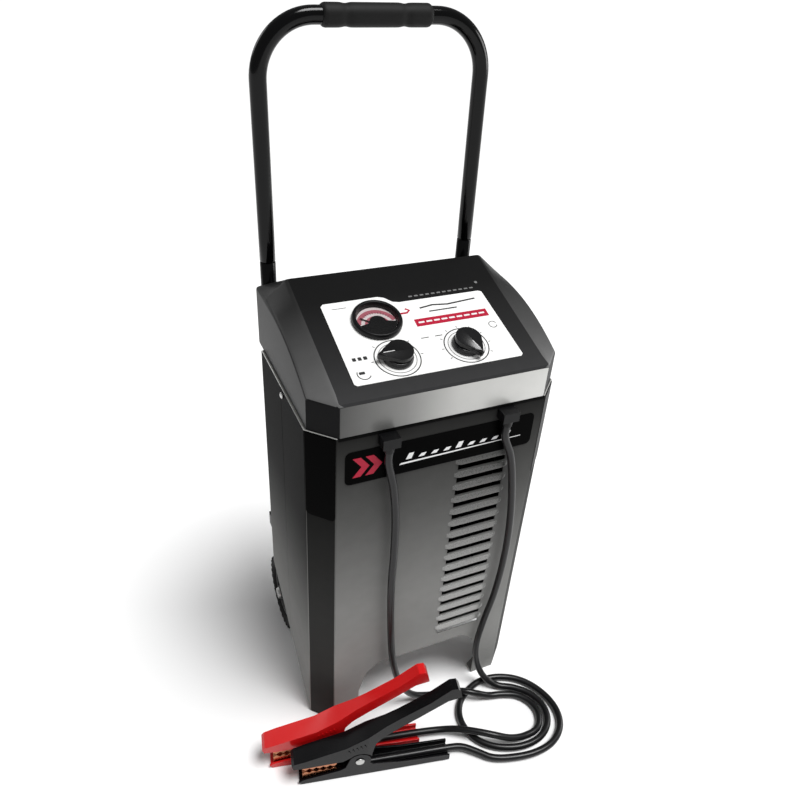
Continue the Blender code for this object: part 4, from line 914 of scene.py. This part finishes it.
# ---------------------------------------------------------------- handle and running gear
def handle_spot(x, z):
    """A point on the handle, which leans back above the joint with the frame tubes."""
    lean = (HANDLE_TOP_Y - TUBE_Y) / (HANDLE_TOP_Z - JOINT_Z)
    return (x, TUBE_Y + max(0.0, z - JOINT_Z) * lean, z)


def make_handle():
    """The bent bar, its moulded sleeve, and the two frame tubes it plugs into."""
    left = [handle_spot(-TUBE_X, JOINT_Z + rise) for rise in (-0.04, 0.0003, 0.0010, 0.0022)]
    left += [handle_spot(-TUBE_X, JOINT_Z + 0.03 * i) for i in range(1, 8)]
    bend = arc(BEND_R - TUBE_X, HANDLE_TOP_Z - BEND_R, BEND_R, 180, 90, 20)
    left += [handle_spot(x, z) for x, z in bend]
    path = left + [(-x, y, z) for x, y, z in left[::-1]]
    radii = [TUBE_R] * len(path)
    for near, inset in enumerate((0.0018, 0.0018, 0.0008)):
        radii[near] -= inset
        radii[-1 - near] -= inset
    piece("handle_tube", swept(path, radii, 40), "black_paint", nodes=["handle_bar"])
    make_sleeve()
    for side, word in ((-1, "left"), (1, "right")):
        low, x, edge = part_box(f"frame_tube_{word}")[0].z, side * TUBE_X, 0.001
        rail = [(x, TUBE_Y, z) for z in (low, low + edge, JOINT_Z - edge, JOINT_Z)]
        radii = [TUBE_R - 0.0008, TUBE_R, TUBE_R, TUBE_R - 0.0008]
        tube = swept(rail, radii, 40)
        piece(f"rail_{word}", tube, "black_paint", nodes=[f"frame_tube_{word}"])
        softened(f"tube_bracket_{word}", "black_plastic", 0.0015, 3)


def make_sleeve():
    """The grip: a sleeve with rounded ends and two shallow grooves."""
    grooves = (-GRIP_HALF * 0.58, GRIP_HALF * 0.50)
    count, wall, swell, groove, groove_half = 60, 0.0006, 0.0022, 0.0011, 0.0045
    bore = TUBE_R + 0.0002
    profile = [(bore, GRIP_HALF), (bore, -GRIP_HALF)]
    for i in range(count + 1):
        x = -GRIP_HALF + 2 * GRIP_HALF * i / count
        end = min(1.0, (GRIP_HALF - abs(x)) / 0.004)
        dip = sum(math.exp(-((x - spot) / groove_half) ** 2) for spot in grooves)
        profile.append((TUBE_R + wall + swell * math.sqrt(max(end, 0)) - groove * dip, x))
    sleeve = turned(profile, 48, at=(0, HANDLE_TOP_Y, HANDLE_TOP_Z), axis="x")
    piece("handle_sleeve", sleeve, "grip_rubber", nodes=["handle_grip"], smooth=60)


def make_wheels():
    softened("axle", "zinc", 0.0005)
    for word in ("left", "right"):
        low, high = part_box(f"tyre_{word}")
        half, outer = (high.x - low.x) / 2, (high.z - low.z) / 2
        at = Matrix.Translation(JOINTS[f"wheel_{word}_spin"]["pos_m"])
        body = f"wheel_{word}"
        tread = tread_mesh(half, outer)
        piece(f"tread_{word}", tread, "tyre_rubber", body, [f"tyre_{word}"], at)
        piece(f"rim_{word}", rim_mesh(half), "hub_plastic", body, [f"wheel_hub_{word}"], at)
        softened(f"axle_cap_{word}", "zinc", 0.0005)
        softened(f"axle_bracket_{word}", "zinc", 0.0004)


def tread_mesh(half, outer):
    """A tyre with a groove round its middle and lugs across both shoulders."""
    inner, crown, groove = 0.0405, 0.014, 0.0012
    profile = [(inner, -half * 0.70), (inner + 0.002, -half * 0.86)]
    for step in range(6):
        turn = math.radians(5 + 16 * step)
        profile.append((outer - crown + crown * math.sin(turn) ** 0.7, -half * math.cos(turn) ** 0.6))
    mirrored = [(r, -h) for r, h in profile[::-1]]
    profile += [(outer - groove, -groove), (outer - 0.0022, 0.0), (outer - groove, groove)]
    bm = turned(profile + mirrored, 72, axis="x")
    lug_half, near, far = 0.0024, half * 0.40, half * 0.92
    for i in range(TREAD_LUGS):
        turn = Matrix.Rotation(2 * math.pi * i / TREAD_LUGS, 4, "X")
        for edge in (-1, 1):
            lug = prism([(edge * near, -lug_half), (edge * far, -lug_half), (edge * far, lug_half),
                         (edge * near, lug_half)], outer - 0.0060, outer - 0.0004)
            merge(bm, lug, turn)
    return bm


def rim_mesh(half):
    """A moulded hub: a bore, a web with spokes on it, and the rim that the tyre sits on."""
    bore, boss, web, rim, seat = 0.0063, 0.0110, 0.003, 0.0350, 0.0403
    side = [(bore, -half), (boss, -half), (0.0120, -web), (0.0330, -web), (rim, -half * 0.70),
            (seat, -half * 0.70)]
    profile = side + [(r, -h) for r, h in side[::-1]]
    bm = turned(rounded_profile(profile, 0.0010), 64, axis="x")
    outline = box_outline(0.0105, 0.0345, -0.0016, 0.0016)
    along_axle = Matrix.Rotation(math.pi / 2, 4, "Y")
    for i in range(HUB_RIBS):
        rib = prism(outline, -half * 0.68, half * 0.68, bevel=0.0005)
        merge(bm, rib, Matrix.Rotation(2 * math.pi * i / HUB_RIBS, 4, "X") @ along_axle)
    return bm


# ---------------------------------------------------------------- clamps
def make_clamp(colour):
    """One clamp: its CAD pieces rounded in place, a wound spring, and ribs on the grip."""
    finish = f"clamp_{colour}"
    made = [
        softened(f"clamp_{colour}_lower", finish, 0.0022, 3),
        softened(f"clamp_{colour}_upper", finish, 0.0030, 4),
        softened(f"clamp_{colour}_rivet", "zinc", 0.0006),
        softened(f"clamp_{colour}_lower_jaw", "copper", 0.0004),
        softened(f"clamp_{colour}_upper_jaw", "copper", 0.0004),
    ]
    spring = [f"clamp_{colour}_spring"]
    at = clamp_matrix(colour)
    made.append(piece(f"coil_{colour}", coil_mesh(), "spring_steel", nodes=spring, matrix=at))
    made.append(piece(f"grip_ribs_{colour}", grip_ribs(), finish, f"{colour}_clamp_upper", matrix=at))
    return made


def coil_mesh():
    """A spring wound round the pivot."""
    turns, steps, radius, width, wire = 5, 20, 0.0070, 0.0124, 0.0010
    count = turns * steps
    px, pz = PIVOT
    coil = []
    for i in range(count + 1):
        turn = 2 * math.pi * i / steps
        coil.append((px + radius * math.cos(turn), width * (i / count - 0.5), pz + radius * math.sin(turn)))
    return swept(coil, [wire] * len(coil), 10)


def grip_ribs():
    """Short raised ribs on both sides of the clamp's upper half."""
    side_view = Matrix(((1, 0, 0, 0), (0, 0, 1, 0), (0, 1, 0, 0), (0, 0, 0, 1)))
    height, lift = 0.0007, 0.0001
    bm = bmesh.new()
    for start in (-CLAMP_HALF - height - lift, CLAMP_HALF + lift):
        for i in range(5):
            x, z = 0.070 + 0.0055 * i, 0.0640 + 0.0022 * i
            rib = prism(stroke([(x, z), (x + 0.0020, z - 0.0060)], 0.0016), 0, height, bevel=0.0002)
            merge(bm, rib, side_view @ Matrix.Translation((0, 0, start)))
    return bm


def make_glands():
    for colour in GLAND_X:
        softened(f"cable_gland_{colour}", "black_plastic", 0.0012, 3)
    softened("mains_cord_gland", "black_plastic", 0.0008)


def make_insides():
    """The pieces inside the cabinet keep their CAD shapes."""
    finishes = {
        "core_steel": ["transformer_core"],
        "copper": ["transformer_winding"],
        "aluminium": ["rectifier_plate"],
        "black_plastic": ["circuit_breaker", "fan_frame", "fan_rotor"],
        "brown_board": ["rate_switch", "timer_body"],
    }
    for finish, inside in finishes.items():
        for node in inside:
            frame["nodes"][node].data.materials[0] = MATS[finish]


# ---------------------------------------------------------------- stage
def add_light(name, data, turn, at=(0, 0, 0)):
    lamp = bpy.data.objects.new(name, data)
    bpy.context.scene.collection.objects.link(lamp)
    lamp.location = at
    lamp.rotation_euler = turn


def facing(direction):
    return Vector(direction).to_track_quat("-Z", "Y").to_euler()


def area_light(name, at, aim, size, power):
    data = bpy.data.lights.new(name, "AREA")
    data.shape = "DISK"
    data.size = size
    data.energy = power
    add_light(name, data, facing(Vector(aim) - Vector(at)), at)


def make_floor():
    bm = bmesh.new()
    bmesh.ops.create_grid(bm, x_segments=8, y_segments=8, size=40)
    floor = bpy.data.objects.new("floor", finish_mesh("floor", bm))
    bpy.context.scene.collection.objects.link(floor)
    floor.location = (0, 0, -0.0006)
    paper = surface("floor_paper", (0.92, 0.92, 0.92), 0.85, 0, 0.01, 60, 0.02, specular=0.1)
    floor.data.materials.append(paper)


def make_stage():
    """A pale floor, a soft overhead sun from the front and right, two weak cards and an even studio light."""
    make_floor()
    world = bpy.data.worlds.new("studio")
    bpy.context.scene.world = world
    world.use_nodes = True
    background = world.node_tree.nodes["Background"]
    background.inputs["Color"].default_value = (1, 1, 1, 1)
    background.inputs["Strength"].default_value = 0.24
    bpy.context.scene.view_settings.view_transform = "Standard"
    sun = bpy.data.lights.new("overhead", "SUN")
    sun.energy = 3.1
    sun.angle = math.radians(27)
    add_light("overhead", sun, facing((-0.235, 0.275, -1.0)))
    area_light("side_card", at=(2.2, -0.3, 1.1), aim=(0, 0, 0.35), size=1.1, power=16)
    area_light("back_card", at=(-1.2, 1.9, 1.6), aim=(0, 0, 0.5), size=1.0, power=5)


make_camera()
MATS = make_materials()
CLAMPS = {colour: make_clamp(colour) for colour in CLAMP_AT}
make_leads()
make_cabinet()
make_cap()
make_panel()
make_ammeter()
make_knob("rate", RATE_AT, 90, "rate_selector")
make_knob("timer", TIMER_AT, 196, "timer")
make_handle()
make_wheels()
make_glands()
make_insides()
make_stage()
